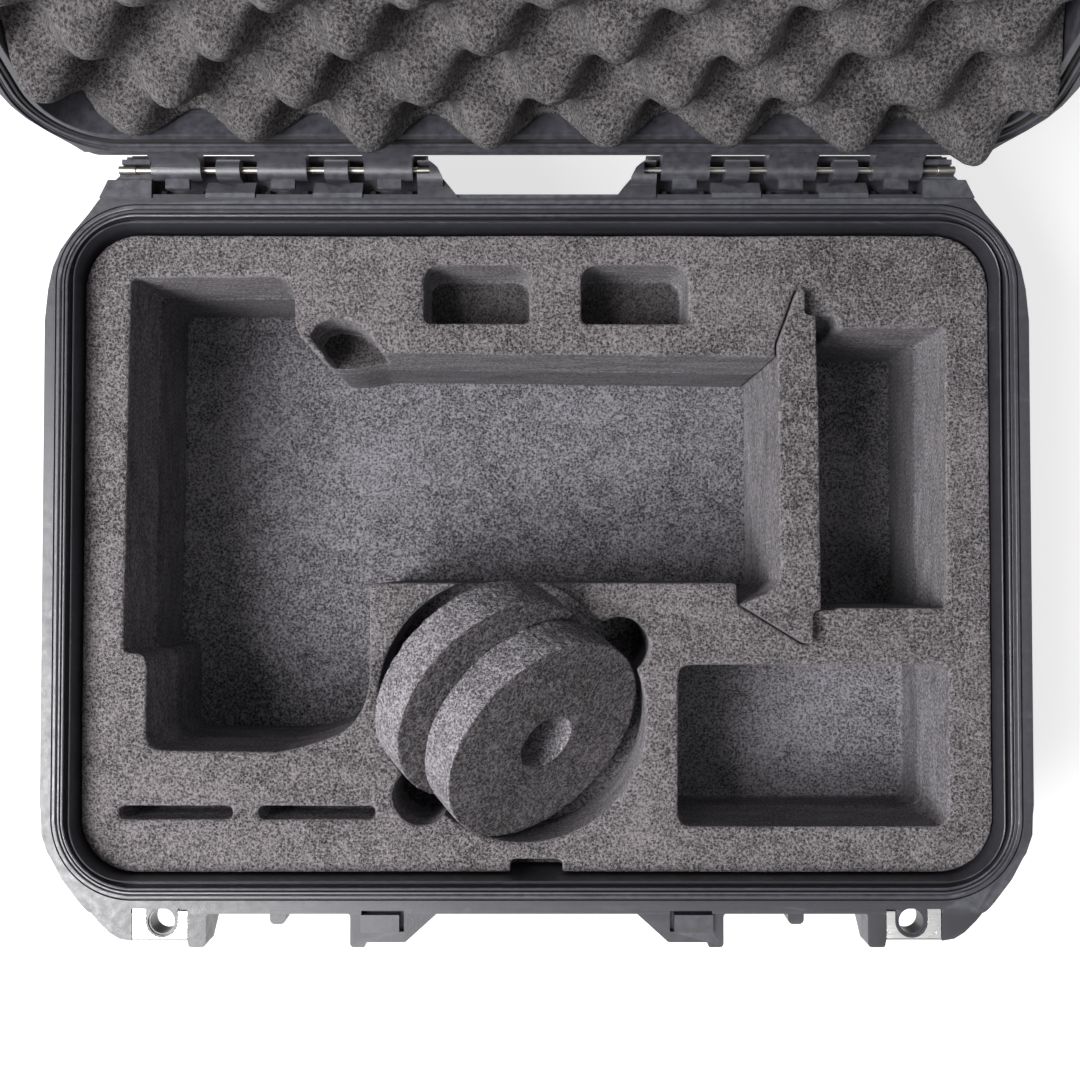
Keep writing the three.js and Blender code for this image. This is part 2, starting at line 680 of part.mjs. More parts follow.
function eggCrate() {
  const { columns, rows, halfX, y0, y1, backZ } = CRATE;
  const face = [];
  const backing = [];
  for (let j = 0; j <= rows; j++) {
    for (let i = 0; i <= columns; i++) {
      const gridX = -halfX + (2 * halfX * i) / columns;
      const [x, y] = clampToCrate(gridX, y0 + ((y1 - y0) * j) / rows);
      face.push(x, y, crateHeight(x, y));
      backing.push(x, y, backZ);
    }
  }
  const index = [];
  const quad = (a, b, c, d) => index.push(a, b, c, a, c, d);
  const faceId = (i, j) => j * (columns + 1) + i;
  const backId = (i, j) => (columns + 1) * (rows + 1) + faceId(i, j);
  const wall = (i0, j0, i1, j1) =>
    quad(faceId(i0, j0), faceId(i1, j1), backId(i1, j1), backId(i0, j0));
  for (let j = 0; j < rows; j++) {
    for (let i = 0; i < columns; i++) {
      const corners = [faceId(i, j), faceId(i, j + 1), faceId(i + 1, j + 1), faceId(i + 1, j)];
      // the diagonal alternates from cell to cell
      if ((i + j) % 2) corners.push(corners.shift());
      quad(...corners);
      quad(backId(i, j), backId(i + 1, j), backId(i + 1, j + 1), backId(i, j + 1));
    }
  }
  for (let i = 0; i < columns; i++) {
    wall(i, 0, i + 1, 0);
    wall(i + 1, rows, i, rows);
  }
  for (let j = 0; j < rows; j++) {
    wall(0, j + 1, 0, j);
    wall(columns, j, columns, j + 1);
  }
  const geometry = new THREE.BufferGeometry();
  const positions = new Float32Array([...face, ...backing]);
  geometry.setAttribute("position", new THREE.BufferAttribute(positions, 3));
  geometry.setIndex(index);
  return toSolid(geometry);
}
function lidFoam() {
  const sheetZ = [LID_CEILING - 14, LID_CEILING - 0.4];
  return roundedSlab(-234.9, 234.9, -164.7, 165.9, ...sheetZ, 27, 5).add(eggCrate());
}

// ---------- latches, modelled latched and centred on X = 0; outlines in [y, z] ----------
const LATCH_BODY = [
  [-189.2, 104], [-189.2, 143], [-187.4, 147], [-187.4, 155], [-190, 157.2], [-195, 157.2],
  [-199.5, 152], [-200.5, 140], [-200.5, 108], [-198.5, 101], [-194, 101],
];
const LATCH_HOOK = [[-190, 104], [-177, 112], [-177, 118.3], [-190, 118.3]];
const TRIGGER = [
  [-191.5, 106], [-191.5, 131], [-192.6, 136], [-197.4, 136],
  [-200.9, 131], [-201.9, 118], [-200.9, 105.6], [-197, 104.6],
];
const TRIGGER_AXIS = [-195, 133];
const triggerBore = () =>
  cylX(...TRIGGER_AXIS, TRIGGER_PIN_R + PIN_CLEARANCE, -24, 24, 12);

function latchBody() {
  const body = union(
    // body with a window for the trigger
    prismX(LATCH_BODY, -35.6, 35.6).subtract(box(-17.3, 17.3, -202, -188, 103.8, 138)),
    // hooks under the flange, on both sides of the rib in the bay
    eachSide((side) => prismX(LATCH_HOOK, ...span(side, 18, 31))),
    // grip ridges on the face
    [142.5, 146.5].map((z) => box(-28, 28, -201.6, -198, z - 1, z + 1)),
  );
  const pinBore = cylX(LATCH_Y, LATCH_Z, CROSS_PIN_R + PIN_CLEARANCE, -40, 40, 14);
  return minus(body, pinBore, triggerBore());
}
function latchTrigger() {
  const ridges = [110, 114, 118].map((z) => box(-12, 12, -202.7, -199, z - 0.9, z + 0.9));
  return union(prismX(TRIGGER, -16.9, 16.9), ridges).subtract(triggerBore());
}
const triggerPin = () => cylX(...TRIGGER_AXIS, TRIGGER_PIN_R, -23.4, 23.4, 12);
function latchPin(side) {
  const x = side * LATCH_X;
  return cylX(LATCH_Y, LATCH_Z, CROSS_PIN_R, x - 41.5, x + 41.5, 14);
}

// ---------- carrying handle, hanging down at the front; outlines in [y, z] ----------
const HANDLE_ARM = [
  [-172.6, 40], [-172.6, 106], [-175.4, 111], [-180, 113],
  [-184.6, 111], [-185.4, 106], [-184, 40],
];
const HANDLE_BAR = [
  [-172.6, 40], [-172.6, 56], [-176, 58], [-182, 58],
  [-184, 54], [-184, 40], [-181, 36], [-175.6, 36],
];
const GRIP = [
  [-172.5, 41], [-172.5, 53], [-175, 56.8], [-181, 56.8],
  [-184.8, 53], [-184.8, 41], [-181, 37.2], [-175, 37.2],
];

function handleFrame() {
  const half = 66;
  const armInner = 55;
  // leaves only a slim core where the grip sits
  const gripSpace = box(-46.3, 46.3, -190, -170, 30, 60).subtract(
    box(-60, 60, -181.5, -175.6, 41.5, 52.5),
  );
  return minus(
    union(
      eachSide((side) => prismX(HANDLE_ARM, ...span(side, armInner, half))),
      prismX(HANDLE_BAR, -half, half),
    ),
    cylX(HANDLE_Y, HANDLE_Z, CROSS_PIN_R + PIN_CLEARANCE, -80, 80, 14),
    gripSpace,
  );
}
// Soft sleeve round the core of the bar.
function handleGrip() {
  return prismX(GRIP, -46, 46).subtract(box(-60, 60, -181.8, -175.3, 41.2, 52.8));
}
function handlePin(side) {
  return cylX(HANDLE_Y, HANDLE_Z, CROSS_PIN_R, ...span(side, 56.2, 73.4), 14);
}

// ---------- pressure valve in the front wall: plug and cap ----------
function valveBody() {
  return union(
    cylY(0, VALVE_Z, 7.9, -171.4, -166.5, 20),
    cylY(0, VALVE_Z, 11, -172.6, -170.8, 24),
  );
}

// ---------- two foam discs leaning in the round pocket ----------
const DISC_TILT = rad(50);
const FRONT_DISC = { radius: 59, thickness: 22.4, holeR: 15 };
const REAR_DISC = { radius: 58.6, thickness: 22.8 };
const DISC_ACROSS = -0.4; // offset of both discs square to the lean
const DISC_SLIDE = 22; // the rear disc stands this far up along the front one
const DISC_PLAY = 0.5;
// disc centres: [along the lean, above the foam top]
const FRONT_CENTRE = [7.9, 6.3];
const DISC_SPACING = (FRONT_DISC.thickness + REAR_DISC.thickness) / 2 + DISC_PLAY;
const REAR_CENTRE = [
  FRONT_CENTRE[0] - Math.sin(DISC_TILT) * DISC_SPACING - Math.cos(DISC_TILT) * DISC_SLIDE,
  FRONT_CENTRE[1] - Math.cos(DISC_TILT) * DISC_SPACING + Math.sin(DISC_TILT) * DISC_SLIDE,
];

function disc({ radius, thickness }) {
  return cylZ(0, 0, radius, -thickness / 2, thickness / 2, 40);
}
function frontDisc() {
  const { thickness, holeR } = FRONT_DISC;
  return disc(FRONT_DISC).subtract(cylZ(0, 0, holeR, -thickness, thickness, 24));
}
function discPlacement([along, above]) {
  const up = new THREE.Vector3(0, 0, 1);
  const lean = new THREE.Vector3(LEAN.x, LEAN.y, 0).normalize();
  const across = up.clone().cross(lean);
  return new THREE.Matrix4()
    .makeBasis(lean, across, up)
    .setPosition(PIT.x, PIT.y, UPPER_TOP)
    .multiply(translation(along, DISC_ACROSS, above))
    .multiply(new THREE.Matrix4().makeRotationY(DISC_TILT));
}

// ---------- assembly ----------
const group = new THREE.Group();
const lid = new THREE.Group(); // everything that turns with the lid
lid.position.set(0, HINGE_Y, PART_Z);
lid.rotation.x = rad(-OPEN_DEG);
group.add(lid);
const TO_LID = translation(0, -HINGE_Y, -PART_Z); // closed-lid coordinates to the turning frame

function add(parent, name, solid, look, matrix) {
  const geometry = toGeometry(solid);
  if (matrix) geometry.applyMatrix4(matrix);
  const flat = geometry.toNonIndexed();
  flat.computeVertexNormals();
  const mesh = new THREE.Mesh(flat, new THREE.MeshStandardMaterial({ ...look }));
  mesh.name = name;
  parent.add(mesh);
}
// Moves a latch part to its side and swings it open about the latch pin.
function latchPlacement(side) {
  return TO_LID.clone()
    .multiply(translation(side * LATCH_X, LATCH_Y, LATCH_Z))
    .multiply(new THREE.Matrix4().makeRotationX(rad(-LATCH_OPEN_DEG)))
    .multiply(translation(0, -LATCH_Y, -LATCH_Z));
}

add(group, "base_shell", baseShell(), PLASTIC);
add(lid, "lid_shell", lidShell(), PLASTIC, TO_LID);
add(lid, "lid_gasket", lidGasket(), RUBBER, TO_LID);
for (const [name, side] of Object.entries(SIDES)) {
  add(group, "hinge_pin_" + name, hingePin(side), STEEL);
}
for (const [name, side] of Object.entries(SIDES)) {
  add(group, "base_padlock_sleeve_" + name, sleeve(side, 119, 132.6), STEEL);
  add(lid, "lid_padlock_sleeve_" + name, sleeve(side, 137.8, 149), STEEL, TO_LID);
}
add(group, "foam_bottom_pad", bottomPad(), FOAM);
add(group, "foam_lower_block", lowerFoam(), FOAM);
add(group, "foam_upper_block", upperFoam(), FOAM);
add(group, "foam_divider", foamDivider(), FOAM);
add(lid, "lid_foam", lidFoam(), FOAM, TO_LID);
for (const [name, side] of Object.entries(SIDES)) {
  const place = latchPlacement(side);
  add(lid, "latch_body_" + name, latchBody(), PLASTIC_DARK, place);
  add(lid, "latch_trigger_" + name, latchTrigger(), PLASTIC, place);
  add(lid, "latch_trigger_pin_" + name, triggerPin(), STEEL, place);
  add(lid, "latch_pin_" + name, latchPin(side), STEEL, TO_LID);
}
add(group, "handle_frame", handleFrame(), PLASTIC);
add(group, "handle_grip", handleGrip(), RUBBER);
for (const [name, side] of Object.entries(SIDES)) {
  add(group, "handle_pin_" + name, handlePin(side), STEEL);
}
add(group, "valve_body", valveBody(), PLASTIC_DARK);
add(group, "foam_disc_front", frontDisc(), FOAM_DARK, discPlacement(FRONT_CENTRE));
add(group, "foam_disc_rear", disc(REAR_DISC), FOAM, discPlacement(REAR_CENTRE));

export default group;
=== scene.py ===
"""Open hard equipment case: moulded shells, cut foam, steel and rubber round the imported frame.

Pieces are drawn in millimetres and scaled to metres when finished. +Z is up, the base stands
on Z = 0 and X runs along the case, which is nearly symmetric about X = 0. The hinge is at +Y,
the latches and the handle are at -Y. Lid pieces are drawn closed over the base, then turned
open about the hinge pins.
"""
import math

import bmesh
import bpy
import numpy as np
from mathutils import Matrix, Vector


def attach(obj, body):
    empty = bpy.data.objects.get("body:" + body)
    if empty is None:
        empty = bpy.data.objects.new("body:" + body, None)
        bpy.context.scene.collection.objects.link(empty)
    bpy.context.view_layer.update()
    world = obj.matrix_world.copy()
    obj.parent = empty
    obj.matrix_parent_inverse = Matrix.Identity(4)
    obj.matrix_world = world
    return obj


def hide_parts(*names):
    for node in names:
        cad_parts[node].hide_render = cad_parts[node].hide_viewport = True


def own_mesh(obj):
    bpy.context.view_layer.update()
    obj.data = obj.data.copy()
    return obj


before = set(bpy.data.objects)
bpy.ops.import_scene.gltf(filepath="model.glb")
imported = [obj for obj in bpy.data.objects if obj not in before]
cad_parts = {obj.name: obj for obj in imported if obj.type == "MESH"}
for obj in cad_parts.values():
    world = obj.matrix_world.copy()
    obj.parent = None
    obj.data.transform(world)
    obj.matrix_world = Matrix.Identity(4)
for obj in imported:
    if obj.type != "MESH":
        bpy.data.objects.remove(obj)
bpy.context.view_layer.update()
scene = bpy.context.scene
rad = math.radians

# ------------------------------------------------------------------ sizes (mm)
SIDES = (-1, 1)
NAMED_SIDES = (("left", -1), ("right", 1))
CAVITY_X, CAVITY_FRONT, CAVITY_BACK, CAVITY_R = 236.0, -166.2, 167.8, 29.0
WALL, SKIN_Z, FLOOR_Z, PART_Z = 4.2, 4.0, 8.0, 135.0  # PART_Z: where lid and base meet
RIM_Y = 183.0
LID_IN, LID_TOP, LID_RIB = 51.0, 190.5, 195.0  # inner depth, outer face, rib tops when closed
POST_Y, POST_HALF = (-127, -47, 47, 127), 5  # upright posts on the end walls
POST_X, POST_HALF_X = (-185, -79, 79, 185), 6  # upright posts on the long walls
RIB_X = (-110, 0, 110)  # long raised strips on the bottom and on the lid

HINGE_Y, PIN_R, KNUCKLE_R, OPEN_DEG = 194.8, 1.5, 5.2, 108.0
BASE_KNUCKLES, BASE_KNUCKLE_HALF = (102, 157), 6
LID_KNUCKLES, LID_KNUCKLE_HALF = (75.3, 129.5, 183.3), 12.5
KNUCKLE_GAP_HALF = 6.4  # half the gap cut in the lid for a base knuckle

PIN_PLAY = 0.3  # a pin hole's radius over its pin's
LATCH_Y, LATCH_Z, LATCH_X, LATCH_OPEN, LATCH_PIN_R = -192.0, 152.0, 131.0, 95.0, 2.0
TRIGGER_Y, TRIGGER_Z, TRIGGER_PIN_R = -195, 133, 1.4
HANDLE_Y, HANDLE_Z, HANDLE_PIN_R = -180.0, 108.0, 2.0
VALVE_Z = 84
PADLOCK_X, PADLOCK_Y, BORE_R = 189.5, -187, 6.2
BAY_X, SLEEVE_X = (176.6, 204.8), (176.9, 204.4)  # |x| of the padlock bay and its steel sleeve

FOAM_X, FOAM_Y, FOAM_R = 235.2, 165.2, 28.0
PAD_Z, LOW_Z, UP_Z = (8.3, 20.5), (20.8, 71.3), (71.6, 122.5)


def rot_x(deg, y, z):
    """A turn by deg about the X line through (y, z)."""
    return (
        Matrix.Translation((0, y, z))
        @ Matrix.Rotation(rad(deg), 4, "X")
        @ Matrix.Translation((0, -y, -z))
    )


LID_M = rot_x(-OPEN_DEG, HINGE_Y, PART_Z)  # closed lid to open lid
LATCH_M = rot_x(-LATCH_OPEN, LATCH_Y, LATCH_Z)  # closed latch to open latch


# ------------------------------------------------------------------ outlines
def span(side, near, far):
    """The x range from |x| = near to far on one side, in rising order."""
    return sorted((side * near, side * far))


def on_side(side, points):
    """An outline drawn on the -X side, kept there or mirrored to +X."""
    return [(side * -x, y) for x, y in points]


def mirrored(points):
    return [(-x, y) for x, y in reversed(points)]


def signed_area(points):
    """Twice the area, positive for an anticlockwise outline."""
    count = len(points)
    return sum(
        points[i][0] * points[(i + 1) % count][1] - points[(i + 1) % count][0] * points[i][1]
        for i in range(count)
    )


def circle(radius, count, x=0.0, y=0.0):
    turns = [2 * math.pi * k / count for k in range(count)]
    return [(x + radius * math.cos(a), y + radius * math.sin(a)) for a in turns]


def rounded_rect(x0, y0, x1, y1, radius, steps=10):
    """One radius, or a tuple of four running anticlockwise from the (x0, y0) corner."""
    radii = radius if isinstance(radius, tuple) else (radius,) * 4
    corners = [
        (x0, y0, 1, 1, math.pi),
        (x1, y0, -1, 1, 1.5 * math.pi),
        (x1, y1, -1, -1, 0),
        (x0, y1, 1, -1, 0.5 * math.pi),
    ]
    points = []
    for (x, y, inx, iny, start), size in zip(corners, radii):
        if size <= 0:
            points.append((x, y))
            continue
        for k in range(steps + 1):
            a = start + k / steps * math.pi / 2
            points.append((x + inx * size + size * math.cos(a), y + iny * size + size * math.sin(a)))
    return points


def fillet(points, radius, steps=5, only=None):
    """Rounds the corners of a closed outline, each cut clipped to half the shorter edge."""
    out = []
    for i in range(len(points)):
        corner = Vector(points[i])
        back = Vector(points[i - 1]) - corner
        ahead = Vector(points[(i + 1) % len(points)]) - corner
        back_len, ahead_len = back.length, ahead.length
        back, ahead = back / back_len, ahead / ahead_len
        angle = math.acos(max(-1, min(1, back.dot(ahead))))
        if angle > rad(172) or (only is not None and i not in only):
            out.append(tuple(corner))
            continue
        reach = min(radius / math.tan(angle / 2), 0.48 * back_len, 0.48 * ahead_len)
        start, end = corner + back * reach, corner + ahead * reach
        for k in range(steps + 1):
            f = k / steps
            out.append(tuple((1 - f) ** 2 * start + 2 * f * (1 - f) * corner + f * f * end))
    return out


def grown(points, distance):
    """An anticlockwise outline moved outwards by about the distance."""
    out = []
    for i, (x, y) in enumerate(points):
        along = Vector(points[(i + 1) % len(points)]) - Vector(points[i - 1])
        normal = Vector((along.y, -along.x)).normalized()
        out.append((x + normal.x * distance, y + normal.y * distance))
    return out


def ring(out):
    """The cavity outline moved outwards; the corner radius gains up to 2.5 mm more."""
    extra = 2.5 * min(max(out - 1.0, 0.0) / 2.4, 1.0)
    return rounded_rect(
        -CAVITY_X - out, CAVITY_FRONT - out, CAVITY_X + out, CAVITY_BACK + out,
        CAVITY_R + out + extra, 24,
    )


# ------------------------------------------------------------------ solids
def mesh_object(verts, faces, name="part"):
    mesh = bpy.data.meshes.new(name)
    mesh.from_pydata(verts, [], faces)
    mesh.update()
    obj = bpy.data.objects.new(name, mesh)
    scene.collection.objects.link(obj)
    return obj


def recalc_normals(obj):
    work = bmesh.new()
    work.from_mesh(obj.data)
    bmesh.ops.recalc_face_normals(work, faces=work.faces)
    work.to_mesh(obj.data)
    work.free()
    return obj


def turned(obj, matrix):
    obj.data.transform(matrix)
    return obj


def prism(points, z0, z1):
    if signed_area(points) < 0:
        points = points[::-1]
    count = len(points)
    verts = [(x, y, z0) for x, y in points] + [(x, y, z1) for x, y in points]
    faces = [tuple(range(count))[::-1], tuple(range(count, 2 * count))]
    faces += [(i, (i + 1) % count, count + (i + 1) % count, count + i) for i in range(count)]
    return mesh_object(verts, faces)


def prism_x(points, x0, x1):
    """A (y, z) outline run along X."""
    axes = Matrix(((0, 0, 1, 0), (1, 0, 0, 0), (0, 1, 0, 0), (0, 0, 0, 1)))
    return turned(prism(points, x0, x1), axes)


def box(x0, x1, y0, y1, z0, z1):
    return prism([(x0, y0), (x1, y0), (x1, y1), (x0, y1)], z0, z1)


def cyl_x(y, z, radius, x0, x1, count=40):
    return prism_x(circle(radius, count, y, z), x0, x1)


def cyl_y(x, z, radius, y0, y1, count=48):
    place = Matrix(((1, 0, 0, x), (0, 0, 1, 0), (0, -1, 0, z), (0, 0, 0, 1)))
    return turned(prism(circle(radius, count), y0, y1), place)


def cyl_z(x, y, radius, z0, z1, count=48):
    return prism(circle(radius, count, x, y), z0, z1)


def skin(loops, caps):
    """Quads between point loops of equal length; open with end caps, or closed on itself."""
    rows, count = len(loops), len(loops[0])
    verts = [v for loop in loops for v in loop]
    faces = []
    for i in range(rows - 1 if caps else rows):
        j = (i + 1) % rows
        for k in range(count):
            q = (k + 1) % count
            if caps:
                faces.append((i * count + k, j * count + k, j * count + q, i * count + q))
            else:
                faces.append((i * count + k, i * count + q, j * count + q, j * count + k))
    if caps:
        faces.append(tuple(range(count)))
        faces.append(tuple(range((rows - 1) * count, rows * count))[::-1])
    return recalc_normals(mesh_object(verts, faces))


def sweep_ring(section):
    """The section [(distance outwards, z), ...] run round the cavity outline."""
    return skin([[(x, y, z) for x, y in ring(out)] for out, z in section], caps=False)


def apply_modifiers(obj):
    bpy.context.view_layer.update()
    graph = bpy.context.evaluated_depsgraph_get()
    mesh = bpy.data.meshes.new_from_object(obj.evaluated_get(graph))
    obj.modifiers.clear()
    old = obj.data
    obj.data = mesh
    bpy.data.meshes.remove(old)
    return obj


def combine(obj, operation, parts):
    for part in parts:
        mod = obj.modifiers.new("b", "BOOLEAN")
        mod.operation = operation
        mod.object = part
        mod.solver = "MANIFOLD"
    apply_modifiers(obj)
    for part in parts:
        mesh = part.data
        bpy.data.objects.remove(part)
        bpy.data.meshes.remove(mesh)
    return obj


def add(obj, *parts):
    return combine(obj, "UNION", parts)


def cut(obj, *parts):
    return combine(obj, "DIFFERENCE", parts)


# ------------------------------------------------------------------ finishing
def to_metres(obj, matrix=None):
    if matrix is not None:
        obj.data.transform(matrix)
    obj.data.transform(Matrix.Scale(0.001, 4))


def tidy(obj, angle=1.0, merge=0.004):
    """Merges stray points (mm) and dissolves the flat edges that booleans leave (degrees)."""
    work = bmesh.new()
    work.from_mesh(obj.data)
    bmesh.ops.remove_doubles(work, verts=work.verts, dist=merge)
    bmesh.ops.dissolve_degenerate(work, edges=work.edges, dist=merge)
    bmesh.ops.dissolve_limit(
        work, angle_limit=rad(angle), verts=work.verts, edges=work.edges, delimit={"NORMAL"}
    )
    work.to_mesh(obj.data)
    work.free()


def hand_over(obj, name, body, material, node, sharp=38.0):
    mesh = obj.data
    mesh.polygons.foreach_set("use_smooth", [True] * len(mesh.polygons))
    if sharp:
        mesh.set_sharp_from_angle(angle=rad(sharp))
        mod = obj.modifiers.new("wn", "WEIGHTED_NORMAL")
        mod.keep_sharp = True
        mod.weight = 80
    mesh.materials.clear()
    mesh.materials.append(material)
    obj.name = name
    mesh.name = name
    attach(obj, body)
    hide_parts(node)


def finish_hard(obj, name, body, material, node, bevel, matrix=None):
    """Bevels a hard piece, scales it to metres and hands it over."""
    tidy(obj)
    if matrix is not None:
        obj.data.transform(matrix)
    mod = obj.modifiers.new("bevel", "BEVEL")
    mod.width = bevel
    mod.segments = 2
    mod.limit_method = "ANGLE"
    mod.angle_limit = rad(32)
    mod.use_clamp_overlap = True
    mod.miter_outer = "MITER_ARC"
    apply_modifiers(obj)
    to_metres(obj)
    hand_over(obj, name, body, material, node)


# ------------------------------------------------------------------ materials
def srgb(*levels):
    """8-bit sRGB levels as a linear colour."""
    parts = [level / 255 for level in levels]
    return tuple(c / 12.92 if c <= 0.04045 else ((c + 0.055) / 1.055) ** 2.4 for c in parts) + (1.0,)


def scaled(color, factor, lift=0.0):
    return tuple(min(1, c * factor + lift) for c in color[:3]) + (1,)


class Shader:
    """A Principled material; textures use object coordinates, so scales are per metre."""

    def __init__(self, name):
        self.mat = bpy.data.materials.new(name)
        self.mat.use_nodes = True
        self.tree = self.mat.node_tree
        self.tree.nodes.clear()
        out = self.node("ShaderNodeOutputMaterial")
        self.bsdf = self.node("ShaderNodeBsdfPrincipled")
        self.plug(out.inputs["Surface"], self.bsdf.outputs["BSDF"])
        self.coord = self.node("ShaderNodeTexCoord").outputs["Object"]

    def plug(self, socket, value):
        if isinstance(value, bpy.types.NodeSocket):
            self.tree.links.new(value, socket)
        else:
            socket.default_value = value

    def fill(self, node, inputs):
        for key, value in inputs.items():
            self.plug(node.inputs[key.replace("_", " ")], value)

    def node(self, kind, **inputs):
        node = self.tree.nodes.new(kind)
        self.fill(node, inputs)
        return node

    def surface(self, **inputs):
        self.fill(self.bsdf, inputs)

    def mapping(self, scale, turn=(0, 0, 0)):
        node = self.node("ShaderNodeMapping", Scale=scale, Rotation=turn, Vector=self.coord)
        return node.outputs["Vector"]

    def noise(self, scale, detail=3.0, rough=0.5, at=None, warp=0.0):
        return self.node(
            "ShaderNodeTexNoise", Vector=at or self.coord, Scale=scale, Detail=detail,
            Roughness=rough, Distortion=warp,
        ).outputs["Fac"]

    def voronoi(self, scale):
        node = self.node("ShaderNodeTexVoronoi", Vector=self.coord, Scale=scale)
        return node.outputs["Distance"]

    def remap(self, value, source, to=(0, 1)):
        """Maps the source range onto the range 'to'."""
        return self.node(
            "ShaderNodeMapRange", From_Min=source[0], From_Max=source[1], To_Min=to[0],
            To_Max=to[1], Value=value,
        ).outputs["Result"]

    def mix(self, factor, first, second, blend="MIX"):
        node = self.node("ShaderNodeMix")
        node.data_type = "RGBA"
        node.blend_type = blend
        self.plug(node.inputs["Factor"], factor)
        self.plug(node.inputs[6], first)
        self.plug(node.inputs[7], second)
        return node.outputs[2]

    def math(self, operation, *values):
        node = self.node("ShaderNodeMath")
        node.operation = operation
        for socket, value in zip(node.inputs, values):
            self.plug(socket, value)
        return node.outputs[0]

    def add(self, first, *others):
        for other in others:
            first = self.math("ADD", first, other)
        return first

    def times(self, first, second):
        return self.math("MULTIPLY", first, second)

    def bump(self, height, strength, distance, **under):
        return self.node(
            "ShaderNodeBump", Strength=strength, Distance=distance, Height=height, **under
        ).outputs["Normal"]


def plastic(name, base, worn, rough):
    """Fine-grained moulded plastic with scuff streaks and paler worn edges."""
    mat = Shader(name)
    fine = mat.noise(scale=2600, detail=2, rough=0.6)
    cell = mat.voronoi(scale=1500)
    mid = mat.noise(scale=240, detail=4, rough=0.6)
    broad = mat.noise(scale=16, detail=4, rough=0.55)
    along_x = mat.mapping(scale=(1.0, 7.0, 3.0), turn=(0.2, 0.3, 0.5))
    along_y = mat.mapping(scale=(9.0, 1.2, 3.0), turn=(0.1, 0.2, 0.1))
    streak_x = mat.noise(scale=30, detail=5, rough=0.62, at=along_x)
    streak_y = mat.noise(scale=24, detail=5, rough=0.62, at=along_y)
    lines = mat.noise(scale=34, detail=4, rough=0.6, at=mat.mapping(scale=(0.35, 16.0, 16.0)))
    color = mat.mix(mat.remap(broad, (0.38, 0.66)), base, scaled(base, 1.14))
    scuffs = mat.add(
        mat.times(
            mat.remap(streak_x, (0.58, 0.76), to=(0, 0.34)),
            mat.remap(streak_y, (0.42, 0.7), to=(0.1, 1)),
        ),
        mat.remap(lines, (0.63, 0.74), to=(0, 0.10)),
    )
    color = mat.mix(scuffs, color, worn)
    pointiness = mat.node("ShaderNodeNewGeometry").outputs["Pointiness"]
    edge = mat.times(
        mat.remap(pointiness, (0.52, 0.6), to=(0.0, 0.3)),
        mat.remap(mid, (0.35, 0.65), to=(0.35, 1)),
    )
    color = mat.mix(edge, color, worn)
    speck = mat.remap(fine, (0.35, 0.68), to=(0.9, 1.12))
    grey = mat.node("ShaderNodeCombineColor", Red=speck, Green=speck, Blue=speck)
    height = mat.add(mat.times(cell, 0.6), mat.times(fine, 0.5))
    grain = mat.bump(height, strength=0.18, distance=0.0003)
    waves = mat.noise(scale=60, detail=3, rough=0.5)
    mat.surface(
        Base_Color=mat.mix(1.0, color, grey.outputs[0], "MULTIPLY"),
        Roughness=mat.add(
            mat.remap(mid, (0.3, 0.7), to=rough),
            mat.times(scuffs, 0.22),
            mat.remap(broad, (0.3, 0.7), to=(-0.04, 0.04)),
        ),
        Normal=mat.bump(waves, strength=0.07, distance=0.0012, Normal=grain),
        Specular_IOR_Level=0.8,
    )
    return mat.mat


